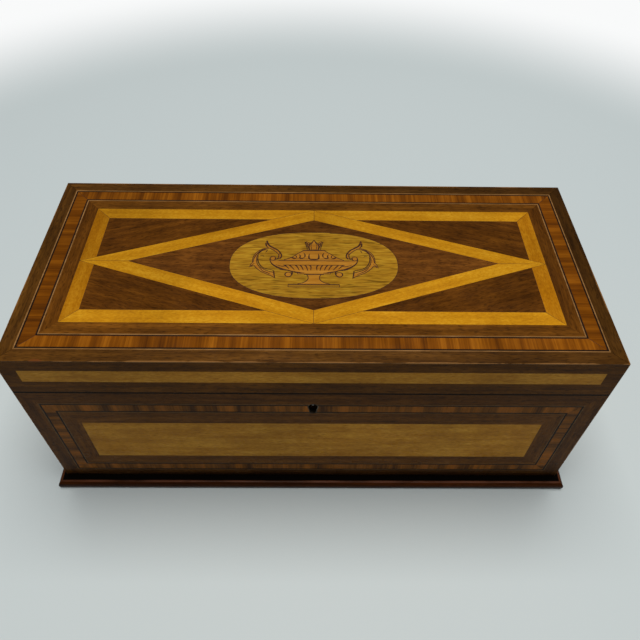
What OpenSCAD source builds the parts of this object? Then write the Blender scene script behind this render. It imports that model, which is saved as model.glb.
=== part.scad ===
// Inlaid mahogany knife box with a hinged lid, a box lock and fitted knife racks.
// Millimetres. +Z is up, the front is at -Y, and the origin is on the table under the box's centre.

/* [Overall] */
// Length of the veneered body
box_l = 386; // [340:1:440]
// Depth of the veneered body, front to back
box_d = 173; // [160:1:210]
// Height of the case, from its underside to the parting line
case_h = 124.5; // [110:0.5:150]
// Height of the lid, from the parting line to the top
lid_h = 33.7; // [30:0.1:45]
// Gap between case and lid at the parting line
part_gap = 0.3; // [0.2:0.05:0.5]
// How far the case's underside stands above the table
base_gap = 1.5; // [1:0.1:2.5]

/* [Carcass] */
// Thickness of the carcass boards
board_t = 10; // [9:0.5:12]
// Thickness of the veneers
veneer_t = 1; // [0.8:0.1:1.2]
// Thickness of the bottom board
floor_t = 8; // [6:0.5:10]
// Depth of the rebate that takes the bottom board
floor_rebate = 4.5; // [3:0.5:6]
// Thickness of the board under the lid's top veneers
lid_board_t = 8; // [7:0.5:10]
// Thickness of the facings on the edges at the parting line
lipping_t = 1.2; // [0.8:0.1:1.6]
// Dovetails at each corner of the case
case_tails = 5; // [3:1:7]
// Dovetails at each corner of the lid's rim
lid_tails = 2; // [1:1:3]
// How much wider each dovetail is at its end, on each side
tail_flare = 1.4; // [0.8:0.1:1.8]
// Hairline left between two veneers or facings of one kind
joint_line = 0.1; // [0.06:0.02:0.2]

/* [Plinth] */
// Height of the plinth moulding
plinth_h = 8.7; // [7:0.1:12]
// How far the plinth stands out from the body
plinth_out = 6.9; // [5:0.1:9]
// How far the plinth's flat top reaches out before its nose
plinth_ledge = 3.7; // [2.5:0.1:4.5]
// Height of the arris between the plinth's top and its nose
plinth_arris_h = 7.2; // [6:0.1:8]

/* [Lid top marquetry] */
// Width of the mahogany border
top_border = 9.2; // [7:0.1:12]
// Width of each boxwood or ebony line
line_w = 0.75; // [0.6:0.05:1]
// Width of the crossbanding on the lid
top_band = 9.4; // [7:0.1:12]
// Distance from the edge of the lid to the satinwood frame
strap_inset = 30.8; // [28:0.1:36]
// Width of the satinwood straps
strap_w = 10.8; // [8:0.1:12]
// Half the length of the oval
oval_a = 58.4; // [52:0.1:62]
// Distance from the lozenge's inner corners, front and back, to the oval
oval_gap = 11.8; // [10:0.1:14]
// How full the oval is: 2 is an ellipse
oval_power = 2.3; // [2:0.05:2.6]
// How far the oval sits towards the front
oval_drop = 1.6; // [0:0.1:2.5]
// Width of the urn across its handles
urn_w = 85.4; // [74:0.1:90]

/* [Side marquetry] */
// Distance from the case's top edge to the inlaid frame
frame_top = 12.9; // [10:0.1:16]
// Distance from the table to the underside of the inlaid frame
frame_foot = 19.2; // [15:0.1:24]
// Distance from the vertical corners to the inlaid frame
frame_side = 11.2; // [9:0.1:16]
// Width of the crossbanding on the case
side_band = 7.9; // [6:0.1:10]
// Distance from the case's top edge to the satinwood panel
panel_top = 37.3; // [33:0.1:45]
// Distance from the table to the underside of the satinwood panel
panel_foot = 41.6; // [36:0.1:48]
// Distance from the vertical corners to the satinwood panel
panel_side = 33.4; // [30:0.1:40]
// Distance from the lid's top to the satinwood strip round its side
strip_top = 10; // [7:0.1:13]
// Height of the satinwood strip
strip_h = 11.7; // [8:0.1:14]
// Distance from the vertical corners to the strip's end
strip_side = 10.5; // [8:0.1:15]

/* [Keyhole and lock] */
// Distance from the case's top edge to the top of the escutcheon
key_drop = 12.1; // [11:0.1:14]
// Height of the escutcheon
key_h = 11.8; // [10:0.1:13]
// Radius of the escutcheon's round head
key_r = 3.7; // [3.3:0.05:4]
// Half the width of the escutcheon at its foot
key_foot = 2.1; // [1.8:0.05:2.4]
// Thickness of the escutcheon's wall
key_wall = 0.55; // [0.4:0.05:0.7]
// Depth of the escutcheon
key_depth = 4; // [3:0.5:6]
// Half the length of the lock's plates
lock_half_l = 31; // [30:0.5:36]
// Height of the lock's back plate, below its top plate
lock_plate_h = 30; // [29:0.5:34]
// Thickness of the lock's plates
lock_plate_t = 1.4; // [1.2:0.1:1.8]
// Width of the top plate and the link plate
selvedge_w = 9; // [8:0.1:9]
// Half the length of the lock's cap
cap_half_l = 24; // [23:0.5:26]
// Depth of the cap
cap_depth = 5.2; // [5:0.1:5.6]
// Height of the cap, below the top plate
cap_h = 26.1; // [25.5:0.1:27]
// Wall of the cap
cap_wall = 1; // [0.8:0.1:1.2]
// Distance of each staple from the lock's centre
staple_x = 14; // [13:0.5:15]
// Thickness of a staple
staple_t = 1.8; // [1.4:0.1:2]
// Width of a staple
staple_w = 3.4; // [3.2:0.1:3.6]
// How far a staple hangs below the lid's edge
staple_drop = 8; // [7.6:0.1:8.2]
// Height of the eye in a staple
eye_h = 3; // [2.6:0.1:3.2]
// Width of the eye in a staple
eye_w = 2.2; // [2:0.1:2.3]
// Metal below the eye in a staple
eye_foot = 1.4; // [1.2:0.1:1.6]
// Thickness of the bolt
bolt_t = 1.6; // [1.4:0.1:1.7]
// Height of the bolt's fingers
finger_h = 2; // [1.6:0.1:2.2]
// Height of the bolt's bar
bar_h = 3.6; // [3:0.1:3.8]
// How far the bolt slides
bolt_travel = 4.5; // [4:0.1:4.8]
// Radius of the drill pin
drill_pin_r = 0.8; // [0.6:0.05:1]
// Thickness of the bolt's spring
spring_t = 0.35; // [0.25:0.05:0.5]

/* [Hinges] */
// Distance of each hinge's middle from the box's centre
hinge_x = 115; // [90:1:130]
// Length of a hinge
hinge_l = 36; // [30:1:44]
// Distance of the hinge pin's axis inside the back face
hinge_inset = 3.2; // [3:0.1:3.6]
// Width of a hinge leaf, from the pin's axis
leaf_w = 7.4; // [7:0.1:7.6]
// Thickness of a hinge leaf
leaf_t = 1.4; // [1.2:0.1:1.6]
// Radius of a knuckle
knuckle_r = 2.3; // [2.1:0.05:2.5]
// Radius of a hinge pin
hinge_pin_r = 1; // [0.8:0.05:1.2]
// Angle between the two bevels behind the hinges, where the lid stops
stop_angle = 96; // [92:1:100]

/* [Screws] */
// Radius of a screw's head
screw_head_r = 1.9; // [1.7:0.05:2]
// Radius of a screw's shank
screw_r = 1; // [0.8:0.05:1.1]
// Length of a hinge screw
hinge_screw_l = 8; // [7:0.5:10]
// Length of a lock screw
lock_screw_l = 7; // [6:0.5:8]

/* [Fitted inside] */
// Thickness of the baize-covered linings
lining_t = 1.5; // [1:0.1:2]
// Distance from the case's top edge to the wall linings
lining_drop = 6; // [4:0.5:10]
// Knives in a set
knives = 12; // [6:1:12]
// Height of the knife racks
rack_h = 42; // [34:1:48]
// Thickness of the knife racks
rack_t = 9; // [7:0.5:12]
// Distance from the left wall to the middle of the handle rack
handle_rack_in = 57; // [45:1:75]
// Distance from the right wall to the middle of the blade rack
blade_rack_in = 112; // [90:1:130]
// Width of a handle's notch
handle_w = 8.4; // [7:0.1:9]
// Depth of a handle's notch
handle_notch = 14; // [11:0.5:18]
// Width of a blade's slot
blade_w = 2.2; // [1.8:0.1:3]
// Depth of a blade's slot
blade_slot = 24; // [18:1:28]

/* [Hidden] */

$fn = 48;
over = 1;

// Heights
case_top = base_gap + case_h;
lid_foot = case_top + part_gap;
box_top = lid_foot + lid_h;
rim_top = box_top - veneer_t - lid_board_t;
floor_top = base_gap + floor_t;
lined_floor = floor_top + lining_t;

// Outline of the carcass under its veneers, and the clear space inside it
carcass_l = box_l - 2 * veneer_t;
carcass_d = box_d - 2 * veneer_t;
inside_l = carcass_l - 2 * board_t;
inside_d = carcass_d - 2 * board_t;

// Hinge axis
axis_y = box_d / 2 - hinge_inset;
axis_z = case_top + part_gap / 2;
knuckles = 5;
knuckle_play = 0.2;
knuckle_room = 0.3;
pin_play = 0.05;
leaf_screw_y = leaf_w * 0.66;
leaf_screw_pitch = hinge_l / 3;

// Lock
front_in = -inside_d / 2;
lock_y = front_in - lock_plate_t - (cap_depth - cap_wall) / 2;
key_z = case_top - key_drop - key_r;
slot_play = 0.5;
finger_gap = 0.5;
finger_z = lid_foot - staple_drop + eye_foot + eye_h / 2;
bar_top = case_top - staple_drop - 0.6;
bar_foot = bar_top - bar_h;
post_w = 1.8;
finger_spare = 0.3;
finger_l = bolt_travel + finger_spare;
talon_r = 2;
spring_gap = 0.1;
spring_r = bar_foot - spring_gap - (case_top - lock_plate_t - cap_h + cap_wall) - 0.2;
spring_x = cap_half_l - cap_wall - spring_r;
drill_pin_l = 8;
lock_screw_x = (cap_half_l + lock_half_l) / 2;
lock_screw_in = 5;
link_screw_x = lock_half_l - 4;

// Marquetry of the lid's top, as distances in from the edge
line1 = top_border;
line2 = line1 + line_w;
band1 = line2 + line_w;
line3 = band1 + top_band;
line4 = line3 + line_w;
ground1 = line4 + line_w;
strap_x = box_l / 2 - strap_inset;
strap_y = box_d / 2 - strap_inset;
strap_in_x = strap_x - strap_w;
strap_in_y = strap_y - strap_w;
lean = atan(strap_y / strap_x);
field_x = strap_x - strap_w / sin(lean);
field_y = strap_y - strap_w / cos(lean);
oval_b = field_y - oval_gap;

// Frame of the case's front and ends, as distances in from its own outline
frame_h = case_top - frame_top - frame_foot;
frame_z = frame_foot + frame_h / 2;
frame_l = box_l - 2 * frame_side;
frame_d = box_d - 2 * frame_side;
side_line2 = line_w;
side_band1 = 2 * line_w;
side_line3 = side_band1 + side_band;
side_line4 = side_line3 + line_w;
side_ground1 = side_line4 + line_w;
panel_h = case_top - panel_top - panel_foot;
panel_z = panel_foot + panel_h / 2;
panel_l = box_l - 2 * panel_side;
panel_d = box_d - 2 * panel_side;

// Knife racks
rack_d = inside_d - 2 * lining_t - 0.2;
handle_rack_x = inside_l / 2 - handle_rack_in;
blade_rack_x = inside_l / 2 - blade_rack_in;
knife_pitch = 12;

// A smooth curve through points, as a Catmull-Rom spline with n steps a stretch
function curve_point(a, b, c, d, t) =
    0.5 * (2 * b + (c - a) * t + (2 * a - 5 * b + 4 * c - d) * t * t + (3 * b - a - 3 * c + d) * t * t * t);
function curve(p, n = 4) = [
    for (i = [0 : len(p) - 2])
        for (j = [0 : n - 1])
            curve_point(p[max(i - 1, 0)], p[i], p[i + 1], p[min(i + 2, len(p) - 1)], j / n),
    p[len(p) - 1]
];
function flipped(p) = [for (i = [len(p) - 1 : -1 : 0]) [-p[i][0], p[i][1]]];
function even(p) = concat(p, flipped(p));
function backwards(p) = [for (i = [len(p) - 1 : -1 : 0]) p[i]];

// The urn's pieces as drawn: half outlines from the middle line outwards, and the left handle
finial_half = [[0, 22.8], [1.2, 20], [1.9, 17.2], [3.5, 19.4], [5.4, 21.5], [5, 18.8], [4.3, 16.2], [3.1, 12.6]];
cover_half = concat([[4.3, 12.4]], curve([[7.1, 11.9], [11.2, 8.7], [15.6, 4.9], [20.6, 2.2]]), [[20.9, 1.7]]);
bowl_half = concat([[30.7, 1.5]], curve([[30.2, 0.6], [28.9, -1.7], [25.2, -4.7], [20.2, -7.1], [13.5, -9.2],
    [9, -10]]), [[11.4, -10.1], [11.2, -11.5]]);
foot_half = concat(curve([[5.2, -11.7], [4.1, -13.5], [3.9, -15.8], [5, -18], [7.3, -19.7], [11, -20.9]]),
    [[11.3, -21.3]]);
base_half = [[17.3, -21.5], [17.3, -23.7]];
handle_out = curve([[-31.3, 15], [-37.3, 12.5], [-41.1, 8.3], [-42.7, 2.5], [-41.5, -3.3], [-36.5, -9.2],
    [-29.4, -13.3], [-26.9, -15.2]]);
handle_in = curve([[-27.7, -10.2], [-34, -7.6], [-38.6, -3.3], [-40, 2.5], [-39.2, 7.5], [-36.5, 11.2],
    [-30.8, 14.3]]);
leaf_out = curve([[-34.5, 19], [-34, 16.2], [-31.2, 13.9], [-27.6, 11], [-25, 7.9], [-24.5, 5.6], [-25.3, 3.9]]);
leaf_in = curve([[-25.9, 2.6], [-23.4, 4.6], [-23, 7.5], [-24.8, 11.2], [-28.6, 14.6], [-32.7, 18], [-33.8, 22.1]]);
side_leaf = [[-41.8, 0.6], [-43.6, -2.2], [-44.8, -5.4], [-42.8, -4.2], [-40.9, -2.9]];
// Middle and radius of each round scroll
rim_scroll = [-28.5, 3.6, 2];
foot_scroll = [-17.4, -12.1, 2.2];
urn_scale = urn_w / (-2 * handle_out[12][0]);

// Outlines
function oval_point(a) = [
    oval_a * sign(cos(a)) * pow(abs(cos(a)), 2 / oval_power),
    oval_b * sign(sin(a)) * pow(abs(sin(a)), 2 / oval_power)
];
oval_steps = 96;
oval_outline = [for (i = [0 : oval_steps - 1]) oval_point((i + 0.5) * 360 / oval_steps)];

module ring(w, h, inset, width) {
    difference() {
        square([w - 2 * inset, h - 2 * inset], center = true);
        square([w - 2 * (inset + width), h - 2 * (inset + width)], center = true);
    }
}

// One side of a mitred frame: the strip along +Y, with a hairline left at both mitres
module mitred_side(w, h, inset, width) {
    x = w / 2 - inset - joint_line;
    y = h / 2 - inset;
    polygon([[-x, y], [x, y], [x - width, y - width], [width - x, y - width]]);
}

module mitred_frame(w, h, inset, width) {
    mitred_side(w, h, inset, width);
    rotate(180) mitred_side(w, h, inset, width);
    rotate(90) mitred_side(h, w, inset, width);
    rotate(270) mitred_side(h, w, inset, width);
}

// Places of flat work on the faces: x to the right and y up, seen from outside
module on_lid() {
    translate([0, 0, box_top - veneer_t]) linear_extrude(veneer_t) children();
}

module on_front(z) {
    translate([0, veneer_t - box_d / 2, z]) rotate([90, 0, 0]) linear_extrude(veneer_t) children();
}

module on_back(z) {
    translate([0, box_d / 2 - veneer_t, z]) rotate([90, 0, 180]) linear_extrude(veneer_t) children();
}

module on_ends(z) {
    for (turn = [0, 180])
        rotate(turn)
            translate([box_l / 2 - veneer_t, 0, z]) rotate([90, 0, 90]) linear_extrude(veneer_t) children();
}

module block(l, d, z0, z1) {
    translate([-l / 2, -d / 2, z0]) cube([l, d, z1 - z0]);
}

// Groove behind the hinges: its two bevels meet when the lid stands open
module stop_groove() {
    reach = hinge_inset + over;
    rise = reach * tan(stop_angle / 2);
    translate([-box_l / 2 - over, axis_y, axis_z])
        rotate([90, 0, 90])
            linear_extrude(box_l + 2 * over)
                polygon([[0, 0], [reach, -rise], [reach, rise]]);
}

module along_x(x, y, z, l, r) {
    translate([x, y, z]) rotate([0, 90, 0]) cylinder(h = l, r = r);
}

// Countersunk wood screw with its head's top at the origin, pointing down
module screw(l) {
    cone = screw_head_r - screw_r;
    rotate_extrude()
        polygon([[0, 0], [screw_head_r, 0], [screw_r, -cone], [screw_r, -l + 2 * screw_r], [0, -l]]);
}

module slotted_screw(l) {
    difference() {
        screw(l);
        translate([-screw_head_r, -0.25, -0.5]) cube([2 * screw_head_r, 0.5, 0.5 + over]);
    }
}

module at_leaf_screws(s) {
    for (i = [-1 : 1]) translate([s * hinge_x + i * leaf_screw_pitch, axis_y - leaf_screw_y, 0]) children();
}

module at_lock_screws() {
    for (x = [-lock_screw_x, lock_screw_x], z = [lock_screw_in, lock_plate_h - lock_screw_in + lock_plate_t])
        translate([x, front_in, case_top - z]) rotate([-90, 0, 0]) children();
}

module at_link_screws() {
    for (x = [-link_screw_x, 0, link_screw_x])
        translate([x, front_in - selvedge_w / 2, lid_foot]) rotate([180, 0, 0]) children();
}

// Dovetailed boards

module tails(z0, z1, n) {
    pitch = (z1 - z0) / n;
    neck = pitch * 0.6;
    shoulder = carcass_d / 2 - board_t;
    for (i = [0 : n - 1], turn = [0, 180])
        translate([0, z0 + (i + 0.5) * pitch])
            rotate(turn)
                polygon([[shoulder - over, -neck / 2], [shoulder, -neck / 2],
                    [carcass_d / 2, -neck / 2 - tail_flare], [carcass_d / 2, neck / 2 + tail_flare],
                    [shoulder, neck / 2], [shoulder - over, neck / 2]]);
}

module tails_at_end(s, z0, z1, n) {
    translate([s > 0 ? inside_l / 2 : -carcass_l / 2, 0, 0])
        rotate([90, 0, 90]) linear_extrude(board_t) tails(z0, z1, n);
}

module end_panel(s, z0, z1, n) {
    translate([s > 0 ? inside_l / 2 : -carcass_l / 2, 0, 0])
        rotate([90, 0, 90])
            linear_extrude(board_t)
                union() {
                    translate([-inside_d / 2, z0]) square([inside_d, z1 - z0]);
                    tails(z0, z1, n);
                }
}

module long_panel(s, z0, z1, n) {
    difference() {
        translate([-carcass_l / 2, s > 0 ? inside_d / 2 : -carcass_d / 2, z0])
            cube([carcass_l, board_t, z1 - z0]);
        tails_at_end(1, z0, z1, n);
        tails_at_end(-1, z0, z1, n);
    }
}

module floor_block() {
    block(inside_l + 2 * floor_rebate, inside_d + 2 * floor_rebate, base_gap, floor_top);
}

module case_long(s) {
    difference() {
        long_panel(s, base_gap, case_top - lipping_t, case_tails);
        floor_block();
    }
}

module case_end(s) {
    difference() {
        end_panel(s, base_gap, case_top - lipping_t, case_tails);
        floor_block();
        stop_groove();
    }
}

module lid_end(s) {
    difference() {
        end_panel(s, lid_foot + lipping_t, rim_top, lid_tails);
        stop_groove();
    }
}

// Room that the hinges need in the wood of the case and the lid
module hinge_room_case() {
    for (s = [-1, 1]) {
        leaf_plate(s, case_top - leaf_t, case_top + over);
        along_x(s * hinge_x - hinge_l / 2 - 0.1, axis_y, axis_z, hinge_l + 0.2, knuckle_r + knuckle_room);
        at_leaf_screws(s) translate([0, 0, case_top]) screw(hinge_screw_l);
    }
}

module hinge_room_lid() {
    for (s = [-1, 1]) {
        leaf_plate(s, lid_foot - over, lid_foot + leaf_t);
        along_x(s * hinge_x - hinge_l / 2 - 0.1, axis_y, axis_z, hinge_l + 0.2, knuckle_r + knuckle_room);
        at_leaf_screws(s) translate([0, 0, lid_foot]) rotate([180, 0, 0]) screw(hinge_screw_l);
    }
}

module leaf_plate(s, z0, z1) {
    translate([s * hinge_x - hinge_l / 2, axis_y - leaf_w, z0]) cube([hinge_l, leaf_w, z1 - z0]);
}

// Keyhole: a round head over a tapered leg, drawn in by a wall
module keyhole(wall, y0, y1) {
    translate([0, y1, key_z]) rotate([90, 0, 0]) cylinder(h = y1 - y0, r = key_r - wall);
    translate([0, y1, key_z])
        rotate([90, 0, 0])
            linear_extrude(y1 - y0)
                polygon([[wall - key_r, 0], [wall - key_foot, key_r - key_h + wall],
                    [key_foot - wall, key_r - key_h + wall], [key_r - wall, 0]]);
}

// Room that the lock needs in the front board and its facing
module lock_room() {
    translate([-lock_half_l, front_in - lock_plate_t, case_top - lock_plate_t - lock_plate_h])
        cube([2 * lock_half_l, lock_plate_t + over, lock_plate_h + lock_plate_t + over]);
    translate([-lock_half_l, front_in - selvedge_w, case_top - lock_plate_t])
        cube([2 * lock_half_l, selvedge_w + over, lock_plate_t + over]);
    translate([-cap_half_l, front_in - lock_plate_t - cap_depth, case_top - lock_plate_t - cap_h])
        cube([2 * cap_half_l, cap_depth, cap_h + lock_plate_t + over]);
    at_lock_screws() screw(lock_screw_l);
}

// Case

module front_board() {
    color("saddlebrown")
        difference() {
            case_long(-1);
            lock_room();
            keyhole(0, -box_d / 2 - over, key_depth - box_d / 2);
            keyhole(key_wall, -box_d / 2, front_in);
        }
}

module back_board() {
    color("saddlebrown")
        difference() {
            case_long(1);
            stop_groove();
            hinge_room_case();
        }
}

module left_end_board() {
    color("sienna") case_end(-1);
}

module right_end_board() {
    color("sienna") case_end(1);
}

module bottom_board() {
    color("burlywood") floor_block();
}

module case_lipping() {
    color("saddlebrown")
        difference() {
            translate([0, 0, case_top - lipping_t])
                linear_extrude(lipping_t) mitred_frame(carcass_l, carcass_d, 0, board_t);
            stop_groove();
            hinge_room_case();
            lock_room();
        }
}

// Plinth: a flat ledge, an arris and a rounded nose, mitred at the corners
nose_steps = 14;
nose_r = plinth_out - plinth_ledge;
nose_mid = plinth_arris_h * 0.46;
plinth_profile = concat(
    [[0, 0], [plinth_out - 1.1, 0], [plinth_out - 0.3, 0.8]],
    [for (i = [0 : nose_steps])
        [plinth_ledge + nose_r * cos(90 * i / nose_steps),
            nose_mid + (plinth_arris_h - nose_mid) * sin(90 * i / nose_steps)]],
    [[plinth_ledge - 0.35, plinth_arris_h + 0.5], [0, plinth_h]]
);

module plinth_side(l, d) {
    intersection() {
        translate([-l / 2 - plinth_out, -d / 2, 0])
            rotate([90, 0, 90])
                linear_extrude(l + 2 * plinth_out)
                    polygon([for (p = plinth_profile) [-p[0], p[1]]]);
        translate([0, 0, -over])
            linear_extrude(plinth_h + 2 * over)
                polygon([[-l / 2, -d / 2], [-l / 2 - 2 * plinth_out, -d / 2 - 2 * plinth_out],
                    [l / 2 + 2 * plinth_out, -d / 2 - 2 * plinth_out], [l / 2, -d / 2]]);
    }
}

module front_plinth() {
    color("saddlebrown") plinth_side(box_l, box_d);
}

module back_plinth() {
    color("saddlebrown") rotate(180) plinth_side(box_l, box_d);
}

module left_plinth() {
    color("saddlebrown") rotate(-90) plinth_side(box_d, box_l);
}

module right_plinth() {
    color("saddlebrown") rotate(90) plinth_side(box_d, box_l);
}

// Veneers of the case

module front_border_veneer() {
    color("#5a3a22")
        difference() {
            on_front(frame_z)
                difference() {
                    translate([-box_l / 2, base_gap - frame_z]) square([box_l, case_h]);
                    square([frame_l, frame_h], center = true);
                }
            keyhole(0, -box_d / 2 - over, key_depth - box_d / 2);
        }
}

module front_crossbanding() {
    color("#a5622a")
        difference() {
            on_front(frame_z) mitred_frame(frame_l, frame_h, side_band1, side_band);
            keyhole(0, -box_d / 2 - over, key_depth - box_d / 2);
        }
}

module front_ground_veneer() {
    color("#5a3a22")
        difference() {
            on_front(frame_z)
                square([frame_l - 2 * side_ground1, frame_h - 2 * side_ground1], center = true);
            on_front_panel(over);
            keyhole(0, -box_d / 2 - over, key_depth - box_d / 2);
        }
}

module on_front_panel(extra) {
    translate([-panel_l / 2, -box_d / 2 - extra, panel_foot])
        cube([panel_l, veneer_t + 2 * extra, panel_h]);
}

module front_satinwood_panel() {
    color("#c79a3a") on_front_panel(0);
}

module end_border_veneers() {
    color("#5a3a22")
        difference() {
            on_ends(frame_z)
                difference() {
                    translate([-carcass_d / 2 + joint_line, base_gap - frame_z])
                        square([carcass_d - 2 * joint_line, case_h]);
                    square([frame_d, frame_h], center = true);
                }
            stop_groove();
        }
}

module end_crossbandings() {
    color("#a5622a") on_ends(frame_z) mitred_frame(frame_d, frame_h, side_band1, side_band);
}

module end_ground_veneers() {
    color("#5a3a22")
        on_ends(frame_z)
            difference() {
                square([frame_d - 2 * side_ground1, frame_h - 2 * side_ground1], center = true);
                translate([0, panel_z - frame_z]) square([panel_d, panel_h], center = true);
            }
}

module end_satinwood_panels() {
    color("#c79a3a") on_ends(panel_z) square([panel_d, panel_h], center = true);
}

module side_lines(l, first, second) {
    ring(l, frame_h, first, line_w);
    ring(l, frame_h, second, line_w);
}

module case_boxwood_stringing() {
    color("wheat")
        difference() {
            union() {
                on_front(frame_z) side_lines(frame_l, 0, side_line4);
                on_ends(frame_z) side_lines(frame_d, 0, side_line4);
            }
            keyhole(0, -box_d / 2 - over, key_depth - box_d / 2);
        }
}

module case_ebony_stringing() {
    color("#1c1612")
        difference() {
            union() {
                on_front(frame_z) side_lines(frame_l, side_line2, side_line3);
                on_ends(frame_z) side_lines(frame_d, side_line2, side_line3);
            }
            keyhole(0, -box_d / 2 - over, key_depth - box_d / 2);
        }
}

module case_back_veneer() {
    color("#5a3a22")
        difference() {
            on_back(base_gap) translate([-box_l / 2, 0]) square([box_l, case_h]);
            stop_groove();
        }
}

// Linings and racks

module floor_lining() {
    color("#2f4a2c") block(inside_l, inside_d, floor_top, lined_floor);
}

module wall_linings() {
    top = case_top - lining_drop;
    d = inside_d - 2 * lining_t - 2 * joint_line;
    color("#2f4a2c")
        difference() {
            union() {
                for (s = [-1, 1]) {
                    translate([-inside_l / 2, s > 0 ? inside_d / 2 - lining_t : -inside_d / 2, lined_floor])
                        cube([inside_l, lining_t, top - lined_floor]);
                    translate([s > 0 ? inside_l / 2 - lining_t : -inside_l / 2, -d / 2, lined_floor])
                        cube([lining_t, d, top - lined_floor]);
                }
            }
            translate([-lock_half_l - 0.5, front_in - over, case_top - lock_plate_t - lock_plate_h - 0.5])
                cube([2 * lock_half_l + 1, lining_t + 2 * over, lock_plate_h + lock_plate_t + over]);
        }
}

module rack_blank(x) {
    translate([x - rack_t / 2, -rack_d / 2, lined_floor]) cube([rack_t, rack_d, rack_h]);
}

module at_knives(x) {
    for (i = [0 : knives - 1])
        translate([x, (i - (knives - 1) / 2) * knife_pitch, lined_floor + rack_h]) children();
}

module handle_rack() {
    color("#4a2c18")
        difference() {
            rack_blank(-handle_rack_x);
            at_knives(-handle_rack_x) {
                translate([-rack_t / 2 - over, 0, handle_w / 2 - handle_notch])
                    rotate([0, 90, 0]) cylinder(h = rack_t + 2 * over, r = handle_w / 2);
                translate([-rack_t / 2 - over, -handle_w / 2, handle_w / 2 - handle_notch])
                    cube([rack_t + 2 * over, handle_w, handle_notch]);
            }
        }
}

module blade_rack() {
    color("#4a2c18")
        difference() {
            rack_blank(blade_rack_x);
            at_knives(blade_rack_x)
                translate([-rack_t / 2 - over, -blade_w / 2, -blade_slot])
                    cube([rack_t + 2 * over, blade_w, blade_slot + over]);
        }
}

// Lock

module lock_plate() {
    color("#b08d3c")
        difference() {
            union() {
                translate([-lock_half_l, front_in - lock_plate_t, case_top - lock_plate_t - lock_plate_h])
                    cube([2 * lock_half_l, lock_plate_t, lock_plate_h + lock_plate_t]);
                translate([-lock_half_l, front_in - selvedge_w, case_top - lock_plate_t])
                    cube([2 * lock_half_l, selvedge_w, lock_plate_t]);
            }
            for (s = [-1, 1])
                translate([s * staple_x - staple_t / 2 - slot_play, lock_y - staple_w / 2 - slot_play,
                        case_top - lock_plate_t - over])
                    cube([staple_t + 2 * slot_play, staple_w + 2 * slot_play, lock_plate_t + 2 * over]);
            at_lock_screws() screw(lock_screw_l);
        }
}

module lock_cap() {
    foot = case_top - lock_plate_t - cap_h;
    back = front_in - lock_plate_t;
    color("#9a7a34")
        difference() {
            translate([-cap_half_l, back - cap_depth, foot]) cube([2 * cap_half_l, cap_depth, cap_h]);
            translate([cap_wall - cap_half_l, back - cap_depth + cap_wall, foot + cap_wall])
                cube([2 * (cap_half_l - cap_wall), cap_depth, cap_h]);
            keyhole(key_wall, -box_d / 2, back);
        }
}

module lock_bolt() {
    color("silver")
        translate([0, lock_y + bolt_t / 2, 0])
            rotate([90, 0, 0])
                linear_extrude(bolt_t)
                    difference() {
                        union() {
                            translate([-staple_x - staple_t / 2 - finger_gap - finger_l - post_w, bar_foot])
                                square([2 * staple_x + finger_l + post_w, bar_h]);
                            for (s = [-1, 1])
                                translate([s * staple_x - staple_t / 2 - finger_gap - finger_l - post_w, 0]) {
                                    translate([0, bar_top - over])
                                        square([post_w, finger_z + finger_h / 2 - bar_top + over]);
                                    translate([0, finger_z - finger_h / 2])
                                        square([post_w + finger_l, finger_h]);
                                }
                        }
                        translate([0, bar_foot]) circle(r = talon_r);
                    }
}

module lock_spring() {
    foot = case_top - lock_plate_t - cap_h + cap_wall;
    color("lightsteelblue")
        translate([0, lock_y + bolt_t / 2, 0])
            rotate([90, 0, 0])
                linear_extrude(bolt_t)
                    union() {
                        translate([spring_x, foot + 0.2])
                            intersection() {
                                difference() {
                                    circle(r = spring_r, $fn = 96);
                                    circle(r = spring_r - spring_t, $fn = 96);
                                }
                                square([spring_r, spring_r]);
                            }
                        translate([spring_x + spring_r - spring_t, foot]) square([spring_t, 0.2]);
                    }
}

module lock_drill_pin() {
    color("silver")
        translate([0, front_in - lock_plate_t, key_z]) rotate([90, 0, 0]) cylinder(h = drill_pin_l, r = drill_pin_r);
}

module keyhole_escutcheon() {
    color("silver")
        difference() {
            keyhole(0, -box_d / 2, key_depth - box_d / 2);
            keyhole(key_wall, -box_d / 2 - over, key_depth + over - box_d / 2);
        }
}

module case_screws() {
    color("#b08d3c") {
        for (s = [-1, 1]) at_leaf_screws(s) translate([0, 0, case_top]) slotted_screw(hinge_screw_l);
        at_lock_screws() slotted_screw(lock_screw_l);
    }
}

// Hinges: the case's leaf has the odd knuckles and the lid's leaf the even ones

function knuckle_l() = hinge_l / knuckles;
function knuckle_x(s, i) = s * hinge_x - hinge_l / 2 + i * knuckle_l();

module knuckle_row(s, first, r, play) {
    for (i = [first : 2 : knuckles - 1])
        along_x(knuckle_x(s, i) + play, axis_y, axis_z, knuckle_l() - 2 * play, r);
}

module leaf(s, z0, z1, own, other) {
    difference() {
        union() {
            difference() {
                leaf_plate(s, z0, z1);
                knuckle_row(s, other, knuckle_r + knuckle_play, -knuckle_play / 2);
            }
            knuckle_row(s, own, knuckle_r, knuckle_play / 2);
        }
        along_x(s * hinge_x - hinge_l / 2 - over, axis_y, axis_z, hinge_l + 2 * over, hinge_pin_r + pin_play);
    }
}

module case_leaf(s) {
    color("#b08d3c")
        difference() {
            leaf(s, case_top - leaf_t, case_top, 0, 1);
            at_leaf_screws(s) translate([0, 0, case_top]) screw(hinge_screw_l);
        }
}

module lid_leaf(s) {
    color("#b08d3c")
        difference() {
            leaf(s, lid_foot, lid_foot + leaf_t, 1, 0);
            at_leaf_screws(s) translate([0, 0, lid_foot]) rotate([180, 0, 0]) screw(hinge_screw_l);
        }
}

module hinge_pin(s) {
    color("silver") along_x(s * hinge_x - hinge_l / 2, axis_y, axis_z, hinge_l, hinge_pin_r);
}

module left_hinge_case_leaf() {
    case_leaf(-1);
}

module right_hinge_case_leaf() {
    case_leaf(1);
}

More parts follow.
